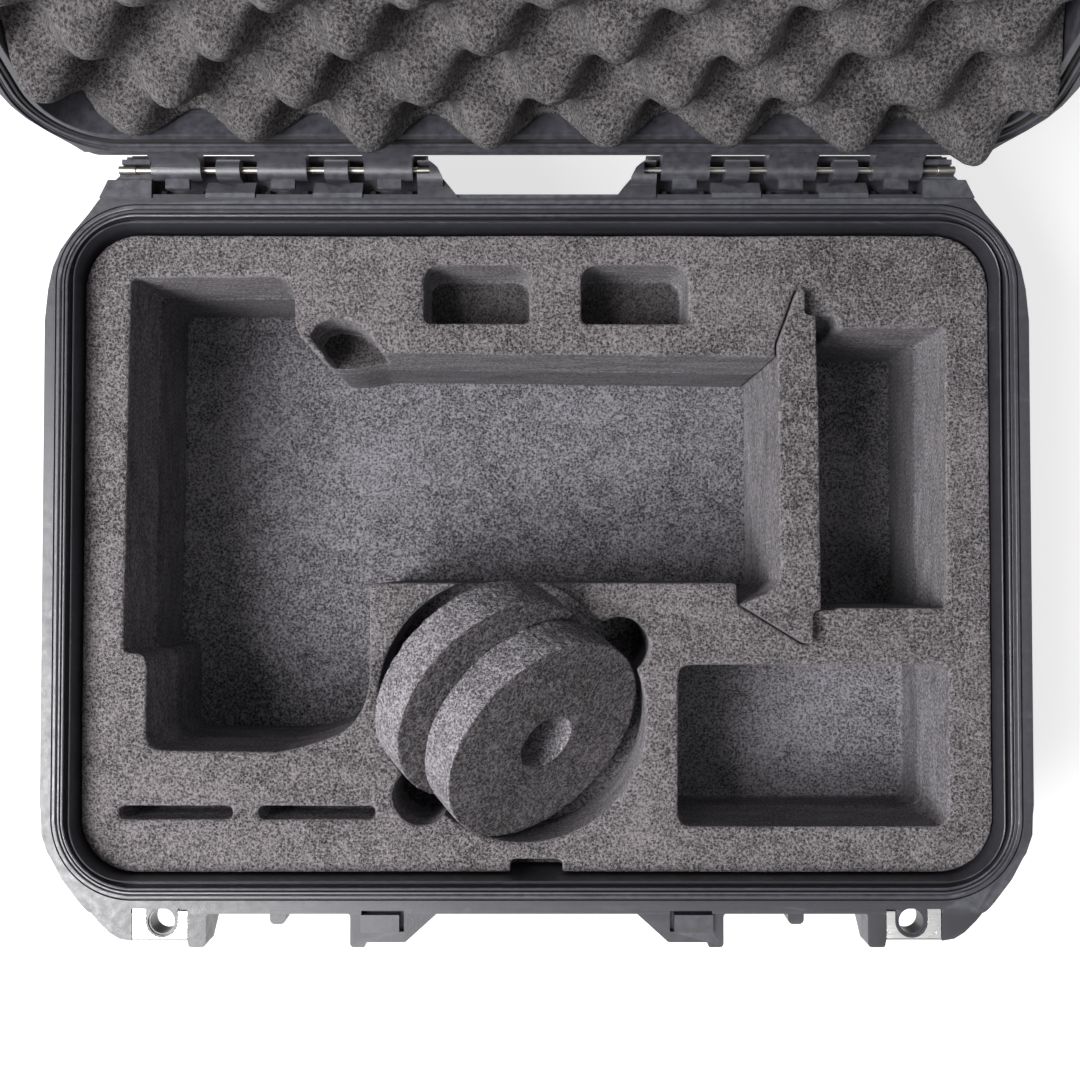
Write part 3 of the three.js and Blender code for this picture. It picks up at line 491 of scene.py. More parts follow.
def foam(name, dark, light, wall=None, cell=690.0, relief=1.0, paint_deep_shade=False):
    """Open-cell foam: light and dark grain, with finer knife marks on upright cut walls.

    wall is the dark and light colour of those walls; cell is the grain scale; the last flag paints
    shade on level faces low in the block.
    """
    mat = Shader(name)
    shade = 0.52  # all foam colours are darkened by this
    dark, light = scaled(dark, shade), scaled(light, shade)
    warp = mat.noise(scale=420, detail=3, rough=0.7)
    cells = mat.voronoi(scale=cell)
    small_cells = mat.voronoi(scale=cell * 2.3)
    fibres = mat.noise(scale=cell * 0.9, detail=5, rough=0.72, warp=1.4)
    broad = mat.noise(scale=9, detail=3, rough=0.5)
    patch = mat.noise(scale=70, detail=4, rough=0.6)
    height = mat.add(
        mat.times(cells, 0.36),
        mat.times(fibres, 0.95),
        mat.times(small_cells, 0.25),
        mat.remap(broad, (0.3, 0.7), to=(-0.04, 0.04)),
        mat.remap(patch, (0.3, 0.7), to=(-0.05, 0.05)),
    )
    grain = mat.math("POWER", mat.remap(height, (0.55, 0.92)), 1.6)
    color = mat.mix(grain, dark, light)
    flecks = mat.noise(scale=cell * 0.95, detail=3, rough=0.6)
    color = mat.mix(mat.remap(flecks, (0.57, 0.72), to=(0, 0.6)), color, scaled(light, 1.35))
    if wall is not None:
        marks = mat.mapping(scale=(0.16, 0.16, 1.0))
        bands = mat.mapping(scale=(0.3, 0.3, 1.0))
        knife = mat.noise(scale=cell * 0.5, detail=4, rough=0.65, at=marks)
        wide = mat.noise(scale=95, detail=3, rough=0.6, at=bands)
        fine = mat.noise(scale=cell * 0.9, detail=4, rough=0.78)
        cuts = mat.add(mat.times(knife, 0.15), mat.times(fine, 0.8), mat.times(wide, 0.2))
        wall_grain = mat.math("POWER", mat.remap(cuts, (0.47, 0.7)), 1.3)
        wall_color = mat.mix(wall_grain, *(scaled(c, shade) for c in wall))
        normal = mat.node("ShaderNodeNewGeometry").outputs["Normal"]
        split = mat.node("ShaderNodeSeparateXYZ", Vector=normal)
        # 1 on level faces, 0 on upright ones
        level = mat.remap(mat.math("ABSOLUTE", split.outputs["Z"]), (0.45, 0.8))
        color = mat.mix(level, wall_color, color)
        if paint_deep_shade:  # level faces low in the block sit in deep shade
            # painted shade: level faces low in the block are mixed towards near black, the lower the
            # darker
            place = mat.node("ShaderNodeSeparateXYZ", Vector=mat.mapping(scale=(1.0, 1.0, 1.0)))
            depth = mat.remap(place.outputs["Z"], (0.094, 0.112), to=(0.62, 0.0))
            color = mat.mix(mat.times(depth, level), color, (0.004, 0.004, 0.0045, 1))
        height = mat.add(
            mat.times(height, mat.remap(level, (0, 1), to=(0.4, 1.0))),
            mat.times(cuts, mat.remap(level, (0, 1), to=(0.6, 0.0))),
        )
    mat.surface(
        Base_Color=color,
        Roughness=mat.remap(warp, (0.3, 0.7), to=(0.82, 1.0)),
        Specular_IOR_Level=0.12,
        Sheen_Weight=0.08,
        Sheen_Roughness=0.6,
        Normal=mat.bump(height, strength=relief, distance=0.0018),
    )
    return mat.mat


def steel(name, base, rough):
    """Steel brushed along X with a few dull spots."""
    mat = Shader(name)
    brushed = mat.noise(scale=28, detail=4, rough=0.6, at=mat.mapping(scale=(2.0, 60.0, 60.0)))
    broad = mat.noise(scale=90, detail=3, rough=0.5)
    spots = mat.remap(mat.noise(scale=260, detail=4, rough=0.6), (0.62, 0.72), to=(0, 0.5))
    color = mat.mix(mat.remap(brushed, (0.3, 0.7)), scaled(base, 0.86), base)
    mat.surface(
        Base_Color=mat.mix(spots, color, (0.42, 0.40, 0.37, 1)),
        Metallic=1.0,
        Roughness=mat.add(
            mat.remap(brushed, (0.3, 0.7), to=rough),
            mat.remap(broad, (0.3, 0.7), to=(-0.04, 0.06)),
        ),
        Normal=mat.bump(brushed, strength=0.12, distance=0.0002),
    )
    return mat.mat


def rubber(name, base):
    mat = Shader(name)
    fine = mat.noise(scale=1800, detail=3, rough=0.6)
    broad = mat.noise(scale=40, detail=4, rough=0.6)
    pale = scaled(base, 1.7, lift=0.004)
    mat.surface(
        Base_Color=mat.mix(mat.remap(broad, (0.4, 0.7)), base, pale),
        Roughness=mat.remap(broad, (0.3, 0.7), to=(0.55, 0.78)),
        Normal=mat.bump(fine, strength=0.25, distance=0.0003),
    )
    return mat.mat


SHELL = plastic("shell_plastic", srgb(46, 46, 52), worn=srgb(124, 124, 134), rough=(0.35, 0.5))
LID = plastic("lid_plastic", srgb(40, 40, 46), worn=srgb(112, 112, 120), rough=(0.32, 0.46))
LATCH = plastic("latch_plastic", srgb(42, 42, 48), worn=srgb(112, 113, 120), rough=(0.3, 0.44))
# the upper block also gets painted shade on its low level faces
FOAM_UPPER = foam(
    "cut_foam", srgb(34, 32, 34), srgb(204, 196, 200),
    wall=(srgb(96, 92, 97), srgb(222, 216, 224)), paint_deep_shade=True,
)
FOAM_LOWER = foam(
    "cut_foam_lower", srgb(32, 31, 35), srgb(208, 203, 212),
    wall=(srgb(80, 77, 83), srgb(176, 171, 179)),
)
FOAM_LID = foam("lid_foam_skin", srgb(32, 30, 32), srgb(156, 150, 153), cell=640, relief=0.88)
# a darker copy of the disc foam, painted shade for the faces turned away from the key light
DISC_FACE_SHADE_PAINTED = foam("disc_foam_painted_shade", srgb(24, 23, 24), srgb(168, 160, 166), cell=560)
DISC_REST = foam("disc_foam_rear", srgb(62, 59, 63), srgb(232, 225, 234), cell=700, relief=0.96)
STEEL = steel("pressed_steel", (0.86, 0.86, 0.85, 1), rough=(0.2, 0.36))
PIN_STEEL = steel("pin_steel", (0.5, 0.47, 0.43, 1), rough=(0.34, 0.5))
SEAL_RUBBER = rubber("seal_rubber", srgb(20, 20, 22))
GRIP_RUBBER = rubber("grip_rubber", srgb(27, 27, 30))

# ------------------------------------------------------------------ shell outlines, (x, y)
BODY_OUT = rounded_rect(
    -CAVITY_X - WALL, CAVITY_FRONT - WALL, CAVITY_X + WALL, CAVITY_BACK + WALL,
    CAVITY_R + WALL, 16,
)
# The -X half of the rim, from the back round the corners to the front.
BACK_CORNER = [
    (-222.5, 183), (-229.6, 173), (-237.8, 163.1), (-243.9, 154.3), (-247.6, 145.5),
    (-250, 134), (-251.5, 118),
]
FRONT_CORNER = [
    (-251.5, -128), (-251, -143.5), (-247.7, -153), (-240, -163.6), (-230.9, -176),
    (-222.3, -186.5), (-216.2, -192.5), (-211, -195.7), (-205, -196.7),
]
FRONT_EDGE = [
    (-176.2, -196.7), (-176.2, -200), (-167.4, -200), (-167.4, -RIM_Y), (-94.4, -RIM_Y),
    (-94.4, -200), (-86.7, -200), (-86.5, -197.5), (-66.5, -197.5), (-50.4, -RIM_Y),
]
RIM_HALF = BACK_CORNER + FRONT_CORNER + FRONT_EDGE
RIM_OUT = fillet(RIM_HALF + mirrored(RIM_HALF), 2.2, 4)
# The same rim without its front lugs.
PLAIN_HALF = BACK_CORNER + [
    (-251.5, -128), (-250, -143.5), (-246.8, -153), (-240.1, -165.6), (-231.3, -177),
    (-226, -RIM_Y),
]
PLAIN_OUT = fillet(PLAIN_HALF + mirrored(PLAIN_HALF), 9, 5)

# ------------------------------------------------------------------ base shell
# Sealing rim section: (distance out from the cavity, z).
BASE_RIM = [
    (0.0, 128.0), (0.0, 133.5), (0.15, 134.2), (0.5, 134.5), (0.85, 134.3), (1.05, 133.6),
    (1.15, 126.0), (3.2, 126.0), (3.3, 134.0), (3.6, 134.5), (4.1, 134.7), (4.6, 134.6),
    (4.95, 134.1), (5.05, 131.6), (5.75, 131.6), (5.85, 133.3), (6.1, 133.5), (6.8, 133.5),
    (7.0, 133.9), (7.25, 134.4), (7.8, 134.7), (8.7, 134.7), (9.25, 134.4), (9.45, 133.8),
    (9.5, 132.0), (10.25, 132.0), (10.3, 128.0),
]
BLOCK_Z = 119  # underside of the hinge blocks and of the flange
INNER_BLOCK = [
    (-60.9, 181), (-60.9, 200.2), (-57.5, 200.2), (-50, 193), (-44, 186), (-40.2, 181),
]
INNER_BACK = [(-60.9, 186.5), (-60.9, 202), (-57.5, 202), (-50.5, 195), (-46, 186.5)]
# Hinge plates on the -X side: ((x, y) outline, top z).
HINGE_PLATES = (
    # stepped outer block: lower plate, two steps and the wall behind the pin end
    ([(-197.2, 181), (-224, 181), (-219.5, 190.2), (-197.2, 190.2)], PART_Z - 0.4),
    ([(-197.2, 188), (-218.8, 188), (-214.5, 192.2), (-197.2, 192.2)], PART_Z - 2.0),
    ([(-197.2, 190), (-215.5, 190), (-211.5, 199.8), (-197.2, 199.8)], PART_Z - 2.6),
    ([(-197.2, 197.3), (-211.5, 197.3), (-211.5, 199.8), (-197.2, 199.8)], PART_Z + 2.0),
    # shallow trough under the knuckles: floor, back wall and back ledge
    ([(-46, 181), (-221, 181), (-216, 190), (-211.5, 203.5), (-57, 203.5), (-50, 190)], 122.8),
    ([(-211.5, 201.3), (-211.5, 203.5), (-57, 203.5), (-57, 201.3)], 130),
    ([(-211.5, 196), (-211.5, 206.8), (-57, 206.8), (-57, 196)], 122.5),
)


def base_posts():
    """Posts, rail, feet and handle brackets on the base walls and floor."""
    parts = []
    for side in SIDES:
        x0, x1 = span(side, CAVITY_X + 3, 246)
        taper0 = 1.2 if side < 0 else 0  # the outer end of a post is narrower
        taper1 = 1.2 - taper0
        for y in POST_Y:
            y0, y1 = y - POST_HALF, y + POST_HALF
            post = [(x0, y0 + taper0), (x1, y0 + taper1), (x1, y1 - taper1), (x0, y1 - taper0)]
            parts.append(prism(fillet(post, 1.5, 3), 12, 122))
    for x in POST_X:
        x0, x1 = x - POST_HALF_X, x + POST_HALF_X
        parts.append(box(x0, x1, CAVITY_FRONT - 8.4, CAVITY_FRONT - 3, 12, 122))
        parts.append(box(x0, x1, CAVITY_BACK + 3, CAVITY_BACK + 9.6, 12, 122))
    parts.append(box(-244.5, 244.5, -118, 118, 60, 66))
    for x in RIB_X:
        parts.append(prism(rounded_rect(x - 17, -140, x + 17, 140, 10, 8), 0, SKIN_Z + 1))
    front = CAVITY_FRONT - 3
    bracket = [(front, 94), (front, 121), (-190, 121), (-190, 103), (-185, 97)]
    for side in SIDES:
        x0, x1 = span(side, 205, 233)
        parts.append(prism(rounded_rect(x0, -120, x1, 120, 8, 8), 0, SKIN_Z + 1))
        parts.append(prism_x(bracket, *span(side, 66.8, 76)))
    return parts


def base_webs():
    """Webs under the front lugs and between flange and wall."""
    lug_web = [(-169, 82), (-169, 121), (-199.4, 121), (-199.4, 116.5)]
    corner_web = [(-170, 100), (-170, 121), (-196, 121)]
    parts = []
    for side in SIDES:
        for x, half, outline in ((172, 4.3, lug_web), (90.5, 3.8, lug_web), (211, 2, corner_web)):
            parts.append(prism_x(outline, side * x - half, side * x + half))
    return parts


def base_knuckle(side, x):
    """A narrow knuckle with its arm and the wider plate in front of it."""
    arm = [
        (HINGE_Y - 5.1, 122), (HINGE_Y - 5.1, PART_Z), (HINGE_Y, PART_Z - 3),
        (HINGE_Y + 2, PART_Z - 4.7), (HINGE_Y, 122),
    ]
    plate = [
        (181, 120), (190.2, 120), (190.2, PART_Z - 5), (183.4, PART_Z - 0.4),
        (181, PART_Z - 0.4),
    ]
    x0, x1 = span(side, x - BASE_KNUCKLE_HALF, x + BASE_KNUCKLE_HALF)
    return [
        cyl_x(HINGE_Y, PART_Z, KNUCKLE_R, x0, x1),
        prism_x(arm, x0, x1),
        prism_x(plate, *span(side, x - 12.6, x + 12.6)),
    ]


def base_hinge(side):
    parts = []
    for x in BASE_KNUCKLES:
        parts += base_knuckle(side, x)
    inner = fillet(on_side(side, INNER_BLOCK), 2.0, 4, only=(3, 4))
    parts.append(prism(inner, BLOCK_Z, PART_Z - 0.4))
    # rounded back of the inner block
    roll = cyl_x(HINGE_Y - 1.5, PART_Z - 2.2, 7.2, *span(side, 60.9, 48.0), 48)
    parts.append(combine(roll, "INTERSECT", [prism(on_side(side, INNER_BACK), 118, 145)]))
    for outline, top in HINGE_PLATES:
        parts.append(prism(on_side(side, outline), BLOCK_Z, top))
    rib = [(181, 122), (188.5, 122), (186.5, 127.5), (181, 131.5)]
    for x in LID_KNUCKLES:
        for shift in (-9.6, 9.6):
            middle = side * x + shift
            parts.append(prism_x(rib, middle - 1.3, middle + 1.3))
    return parts


def base_padlock_bay(shell, side):
    """Seat for the steel sleeve, with a bored collar that stands in the sleeve's slot."""
    x0, x1 = span(side, *BAY_X)
    shell = cut(
        shell,
        box(x0, x1, -199, -180.4, 131.2, 136),
        box(x0, x1, -199, -180.4, 117, 120.5),
        box(x0, x1, -199, -195, 117, 136),
    )
    x, collar = side * PADLOCK_X, 7.9
    shell = add(
        shell,
        cyl_z(x, PADLOCK_Y, collar, 130, 132.4, 64),
        box(x - collar, x + collar, PADLOCK_Y, -179, 130, 132.4),
    )
    mouth = Matrix.Translation((x, PADLOCK_Y, 131.7)) @ Matrix.Diagonal((1.16, 1.16, 1.4, 1))
    return cut(
        shell,
        cyl_z(x, PADLOCK_Y, BORE_R, 100, 140, 64),
        turned(prism(circle(BORE_R, 64), 0, 1), mouth),
    )


def make_base():
    shell = prism(BODY_OUT, SKIN_Z, 125)
    flange = [prism(PLAIN_OUT, BLOCK_Z, 133.6), prism(RIM_OUT, BLOCK_Z, 132.7)]
    shell = add(shell, *flange, *base_posts())
    shell = add(shell, *base_webs())
    # raised pads in a shallow moat, and a rounded rib behind each latch
    for side in SIDES:
        shell = cut(shell, box(*span(side, 67.2, 88.6), -192.2, -181.4, 129.4, 140))
        x = side * 131
        rib = rounded_rect(x - 4, -188.4, x + 4, -181, (2.5, 2.5, 0, 0), 5)
        pad = box(*span(side, 69.4, 88.9), -192.2, -183.3, 128, 134.6)
        shell = add(shell, pad, prism(rib, 122, 132.7))
    shell = add(shell, *base_hinge(-1), *base_hinge(1))
    shell = cut(shell, prism(ring(0), FLOOR_Z, 140), prism(ring(10.2), 128.5, 140))
    shell = add(shell, sweep_ring(BASE_RIM))
    for side in SIDES:
        shell = base_padlock_bay(shell, side)
        hole = cyl_x(HINGE_Y, PART_Z, PIN_R + PIN_PLAY, *span(side, 53.5, 203.6), 24)
        shell = cut(shell, hole)
        # open slot for the pin head, and the inner window where the pin shows
        for ends, half, bottom, top in (
            ((203.4, 216), 2.5, PART_Z - 2.5, 142), ((54.5, 61.5), 3.2, PART_Z - 4.0, 146),
        ):
            x0, x1 = span(side, *ends)
            shell = cut(shell, box(x0, x1, HINGE_Y - half, HINGE_Y + half, bottom, top))
        handle_hole = HANDLE_PIN_R + PIN_PLAY
        shell = cut(shell, cyl_x(HANDLE_Y, HANDLE_Z, handle_hole, *span(side, 60, 74), 24))
    shell = cut(shell, cyl_y(0, VALVE_Z, 8.3, -180, -160))
    finish_hard(
        shell, "base_shell_moulding", "base", SHELL, "base_shell", bevel=0.45
    )


# ------------------------------------------------------------------ lid shell, drawn closed
# Seal groove section: (distance out from the cavity, z).
LID_GROOVE = [
    (0.0, 138.0), (0.0, 136.2), (0.2, 135.5), (0.7, 135.3), (3.0, 135.3), (3.6, 135.6),
    (3.9, 136.2), (3.95, 140.4), (7.55, 140.4), (7.6, 136.2), (7.9, 135.5), (8.4, 135.3),
    (9.2, 135.3), (9.65, 135.6), (9.7, 138.0), (9.7, 142.0), (0.0, 142.0),
]
LID_LUG = [
    (-181, 137.4), (-199.5, 137.4), (-199.5, 158), (-190, 166), (-169, 172), (-169, 149),
]  # (y, z)
LID_CORNER = [
    (-226, -181), (-231.3, -177), (-222.3, -186.5), (-216.2, -192.5), (-211, -195.7),
    (-205, -196.7), (-173, -196.7), (-173, -181),
]  # (x, y)
KNUCKLE_GAPS = (
    (-63.2, -40),
    *((-x - KNUCKLE_GAP_HALF, -x + KNUCKLE_GAP_HALF) for x in BASE_KNUCKLES),
    (-224, -197.2),
)


def lid_ribs():
    """Lugs, front corners, ribs on the top and posts on the walls."""
    parts = []
    for side in SIDES:
        for near, far in ((167.4, 176.6), (86.7, 94.4)):
            parts.append(prism_x(fillet(LID_LUG, 3, 4), *span(side, near, far)))
        parts.append(prism(on_side(side, LID_CORNER), 137.4, 149))
        x0, x1 = span(side, 200, 229)
        parts.append(prism(rounded_rect(x0, -112, x1, 112, 8, 8), LID_TOP - 1, LID_RIB))
        for y in POST_Y:
            parts.append(box(*span(side, 238, 245), y - POST_HALF, y + POST_HALF, 147, 184))
    for x in RIB_X:
        parts.append(prism(rounded_rect(x - 15, -132, x + 15, 132, 8, 8), LID_TOP - 1, LID_RIB))
    for x in (*POST_X[:2], 0, *POST_X[2:]):
        x0, x1 = x - POST_HALF_X, x + POST_HALF_X
        parts.append(box(x0, x1, CAVITY_BACK + 3, CAVITY_BACK + 9, 147, 184))
    return parts


def lid_knuckles():
    """Wide knuckles, each with its arm and a small fin that points up when the lid is open."""
    arm = [
        (179, PART_Z + 0.6), (HINGE_Y - 5, PART_Z + 0.6), (HINGE_Y, PART_Z + 0.6),
        (HINGE_Y + 4, PART_Z + 3.3), (190, 146), (179, 149),
    ]
    # (distance from the pin, distance across), then turned to the fin's direction
    fin = [(3, -1.7), (9.4, -1.7), (9.9, -1), (9.9, 1), (9.4, 1.7), (3, 1.7)]
    cos, sin = 0.309, 0.951
    fin = [(HINGE_Y + cos * u + sin * v, PART_Z - sin * u + cos * v) for u, v in fin]
    parts = []
    for x in (*(-x for x in reversed(LID_KNUCKLES)), *LID_KNUCKLES):
        x0, x1 = x - LID_KNUCKLE_HALF, x + LID_KNUCKLE_HALF
        parts.append(cyl_x(HINGE_Y, PART_Z, KNUCKLE_R, x0, x1))
        parts.append(prism_x(arm, x0, x1))
        parts.append(prism_x(fin, x - 6.1, x + 6.1))
    return parts


def make_lid():
    shell = prism(BODY_OUT, 136, LID_TOP)
    shell = add(shell, prism(PLAIN_OUT, PART_Z + 0.3, 149))
    skirt = prism(PLAIN_OUT, 134, 137)
    skirt = cut(skirt, prism(ring(10.9), 120, 150), box(-260, 260, 179, 215, 120, 150))
    shell = add(shell, skirt)
    shell = add(shell, *lid_ribs())
    shell = add(shell, *lid_knuckles())
    cavity = prism(ring(0), 130, PART_Z + LID_IN)
    shell = cut(shell, cavity, prism(ring(9.6), 130, 137.6))
    shell = cut(shell, prism(ring(9.7), 130, 141.9))
    bed = cut(prism(ring(9.72), 140.4, 141.95), prism(ring(0), 130, 150))
    shell = add(shell, bed, sweep_ring(LID_GROOVE))
    for x0, x1 in KNUCKLE_GAPS:
        gaps = [box(a, b, 183.2, 204, 120, 143.5) for a, b in ((x0, x1), (-x1, -x0))]
        shell = cut(shell, *gaps)
    for side in SIDES:
        x0, x1 = span(side, *BAY_X)
        shell = cut(
            shell,
            cyl_z(side * PADLOCK_X, PADLOCK_Y, BORE_R, 130, 160, 64),
            box(x0, x1, -199, -180.4, 130, 139.2),
            box(x0, x1, -199, -180.4, 147.5, 160),
            box(x0, x1, -199, -195, 130, 150),
        )
        hinge_hole, latch_hole = PIN_R + PIN_PLAY, LATCH_PIN_R + PIN_PLAY
        shell = cut(shell, cyl_x(HINGE_Y, PART_Z, hinge_hole, *span(side, 53.5, 215), 24))
        shell = cut(shell, cyl_x(LATCH_Y, LATCH_Z, latch_hole, *span(side, 89, 174), 24))
    finish_hard(
        shell, "lid_shell_moulding", "lid", LID, "lid_shell",
        bevel=0.45, matrix=LID_M,
    )


# ------------------------------------------------------------------ seal
# (distance out from the cavity, z)
SEAL_SECTION = [
    (4.9, 136.0), (5.0, 135.5), (5.4, 135.3), (6.1, 135.3), (6.5, 135.5), (6.6, 136.0),
    (6.8, 136.6), (7.2, 136.8), (7.2, 140.1), (4.3, 140.1), (4.3, 136.8), (4.7, 136.6),
]


def make_seal():
    seal = sweep_ring(SEAL_SECTION)
    to_metres(seal, LID_M)
    hand_over(seal, "lid_seal", "lid", SEAL_RUBBER, "lid_gasket")


# ------------------------------------------------------------------ pins
def lathe_x(profile, count=40):
    """A turned pin about X from its profile [(x, radius), ...]."""
    turns = [2 * math.pi * k / count for k in range(count)]
    loops = [[(x, r * math.cos(a), r * math.sin(a)) for a in turns] for x, r in profile]
    return skin(loops, caps=True)


def flute(obj, x0, x1):
    """Presses straight flutes into a turned surface between x0 and x1."""
    for vert in obj.data.vertices:
        if x0 + 0.3 < vert.co.x < x1 - 0.3:
            factor = 1 + 0.05 * math.cos(20 * math.atan2(vert.co.z, vert.co.y))
            vert.co.y *= factor
            vert.co.z *= factor


def pin(name, node, body, ends, radius, y, z, matrix=None, knurl=None):
    """A chamfered pin; knurl is (x0, x1, radius) of a thicker fluted end."""
    x0, x1 = ends
    chamfer = 0.35
    start = [(x0, radius - chamfer), (x0 + chamfer, radius)]
    end = [(x1 - chamfer, radius), (x1, radius - chamfer)]
    if knurl:
        k0, k1, thick = knurl
        head = [
            (k0, thick - chamfer), (k0 + chamfer, thick), (k1 - chamfer, thick),
            (k1, thick - chamfer),
        ]
        if k0 == x0:
            start = head + [(k1 + 0.01, radius)]
        else:
            end = [(k0 - 0.01, radius)] + head
    obj = lathe_x(start + end)
    if knurl:
        flute(obj, k0, k1)
    obj.data.transform(Matrix.Translation((0, y, z)))
    to_metres(obj, matrix)
    hand_over(obj, name, body, PIN_STEEL, node, sharp=50)


def make_pins(label, side):
    middle = side * LATCH_X
    pin(
        f"hinge_pin_{label}_turned", f"hinge_pin_{label}", "base", span(side, 54, 213.6),
        PIN_R, HINGE_Y, PART_Z, knurl=(*span(side, 204.6, 213.6), 2.05),
    )
    pin(
        f"latch_pin_{label}_turned", f"latch_pin_{label}", "lid",
        (middle - 41.5, middle + 41.5), LATCH_PIN_R, LATCH_Y, LATCH_Z, matrix=LID_M,
    )
    pin(
        f"trigger_pin_{label}_turned", f"latch_trigger_pin_{label}", f"latch_{label}",
        (middle - 23.4, middle + 23.4), TRIGGER_PIN_R, TRIGGER_Y, TRIGGER_Z,
        matrix=LID_M @ LATCH_M,
    )
    pin(
        f"handle_pin_{label}_turned", f"handle_pin_{label}", "base", span(side, 56.2, 73.4),
        HANDLE_PIN_R, HANDLE_Y, HANDLE_Z,
    )


# ------------------------------------------------------------------ padlock sleeves
def make_sleeve(body, label, side, top, bottom, matrix=None):
    """A steel channel open towards the case, slotted round the padlock bore."""
    x0, x1 = span(side, *SLEEVE_X)
    x, slot = side * PADLOCK_X, 8.2
    outer = [(-196.6, bottom), (-180.8, bottom), (-180.8, top), (-196.6, top)]
    inner = [
        (-195.5, bottom + 1.1), (-170, bottom + 1.1), (-170, top - 1.1), (-195.5, top - 1.1),
    ]
    sleeve = cut(
        prism_x(fillet(outer, 1.3, 6, only=(0, 3)), x0, x1),
        prism_x(fillet(inner, 0.5, 4, only=(0, 3)), x0 - 1, x1 + 1),
        cyl_z(x, PADLOCK_Y, slot, bottom - 5, top + 5, 64),
        box(x - slot, x + slot, PADLOCK_Y, -180, bottom - 5, top + 5),
    )
    # shallow pressed dimples, and a corner notch on the side next to the lug
    for shift in (-11.6, 11.6):
        sleeve = cut(sleeve, cyl_z(x + shift, -192.6, 0.9, top - 0.35, top + 1, 24))
    edge = side * SLEEVE_X[0]
    x0, x1 = sorted((edge, edge + side * 5.2))
    sleeve = cut(sleeve, box(x0 - 0.01, x1, -182.0, -180, top - 1.6, top + 1))
    finish_hard(
        sleeve, f"{body}_sleeve_{label}_pressed", body, STEEL,
        f"{body}_padlock_sleeve_{label}", bevel=0.18, matrix=matrix,
    )


# ------------------------------------------------------------------ latches, (y, z) closed
LATCH_SECTION = [
    (-189.2, 104), (-189.2, 143), (-187.4, 147), (-187.4, 155), (-190, 157.2), (-195, 157.2),
    (-199.5, 152), (-200.5, 140), (-200.5, 108), (-198.5, 101), (-194, 101),
]
LATCH_HOOK = [(-190, 104), (-177, 112), (-177, 118.3), (-190, 118.3)]
LATCH_WAIST = [(-203, 112), (-185, 112), (-185, 134), (-203, 134)]
LATCH_DISH = [(-201.5, 108), (-199.2, 110), (-199.2, 134), (-201.5, 136)]
TRIGGER_SECTION = [
    (-191.5, 106), (-191.5, 131), (-192.6, 136), (-197.4, 136), (-200.9, 131), (-201.9, 118),
    (-200.9, 105.6), (-197, 104.6),
]


def make_latch(label, side):
    """The latch body and its trigger, drawn about X = 0."""
    place = LID_M @ Matrix.Translation((side * LATCH_X, 0, 0)) @ LATCH_M
    trigger_hole = TRIGGER_PIN_R + PIN_PLAY
    latch = prism_x(fillet(LATCH_SECTION, 2.6, 5), -35.6, 35.6)
    latch = cut(latch, box(-17.3, 17.3, -202, -188, 103.8, 138))
    for x0, x1 in ((18, 31), (-31, -18)):
        latch = add(latch, prism_x(fillet(LATCH_HOOK, 1.2, 3, only=(1, 2)), x0, x1))
    # waisted sides and a shallow dished face either side of the trigger
    for hand in SIDES:
        latch = cut(latch, prism_x(LATCH_WAIST, *span(hand, 36.5, 34.0)))
        latch = cut(latch, prism_x(fillet(LATCH_DISH, 0.8, 3), *span(hand, 20.5, 31.5)))
    for z in (142.5, 146.5):
        latch = add(latch, prism_x(circle(1.35, 16, -200.0, z), -28, 28))
    latch = cut(
        latch,
        cyl_x(LATCH_Y, LATCH_Z, LATCH_PIN_R + PIN_PLAY, -40, 40, 24),
        cyl_x(TRIGGER_Y, TRIGGER_Z, trigger_hole, -24, 24, 20),
    )
    finish_hard(
        latch, f"latch_{label}_moulding", f"latch_{label}", LATCH, f"latch_body_{label}",
        bevel=0.5, matrix=place,
    )
    trigger = prism_x(fillet(TRIGGER_SECTION, 1.6, 4), -16.9, 16.9)
    for z in (110, 114, 118):
        trigger = add(trigger, prism_x(circle(1.1, 16, -201.4, z), -12, 12))
    trigger = cut(trigger, cyl_x(TRIGGER_Y, TRIGGER_Z, trigger_hole, -24, 24, 20))
    finish_hard(
        trigger, f"trigger_{label}_moulding", f"trigger_{label}", SHELL,
        f"latch_trigger_{label}", bevel=0.5, matrix=place,
    )


# ------------------------------------------------------------------ handle, (y, z) outlines
HANDLE_ARM = [
    (-172.6, 40), (-172.6, 106), (-175.4, 111), (-180, 113), (-184.6, 111), (-185.4, 106),
    (-184, 40),
]
HANDLE_BAR = [
    (-172.6, 40), (-172.6, 56), (-176, 58), (-182, 58), (-184, 54), (-184, 40), (-181, 36),
    (-175.6, 36),
]
ARM_HOLLOW = [(-188, 62), (-183.4, 62), (-183.9, 98), (-188, 98)]
GRIP_SECTION = [
    (-172.5, 41), (-172.5, 53), (-175, 56.8), (-181, 56.8), (-184.8, 53), (-184.8, 41),
    (-181, 37.2), (-175, 37.2),
]
GROOVES, GROOVE_PITCH, GROOVE_HALF, GROOVE_DEPTH = 11, 7.6, 0.8, 0.7


def make_handle_frame():
    arm = fillet(HANDLE_ARM, 3, 5)
    frame = prism_x(arm, -66, -55)
    frame = add(frame, prism_x(arm, 55, 66), prism_x(fillet(HANDLE_BAR, 2, 4), -66, 66))
    core = box(-60, 60, -181.5, -175.6, 41.5, 52.5)  # what is left of the bar in the grip
    grip_room = prism_x([(-170, 30), (-170, 60), (-190, 60), (-190, 30)], -46.3, 46.3)
    hole = cyl_x(HANDLE_Y, HANDLE_Z, HANDLE_PIN_R + PIN_PLAY, -80, 80, 24)
    frame = cut(frame, hole, cut(grip_room, core))
    for side in SIDES:
        frame = cut(frame, prism_x(fillet(ARM_HOLLOW, 1, 3), *span(side, 57.5, 63.5)))
    finish_hard(
        frame, "handle_frame_moulding", "handle", SHELL, "handle_frame",
        bevel=0.8,
    )


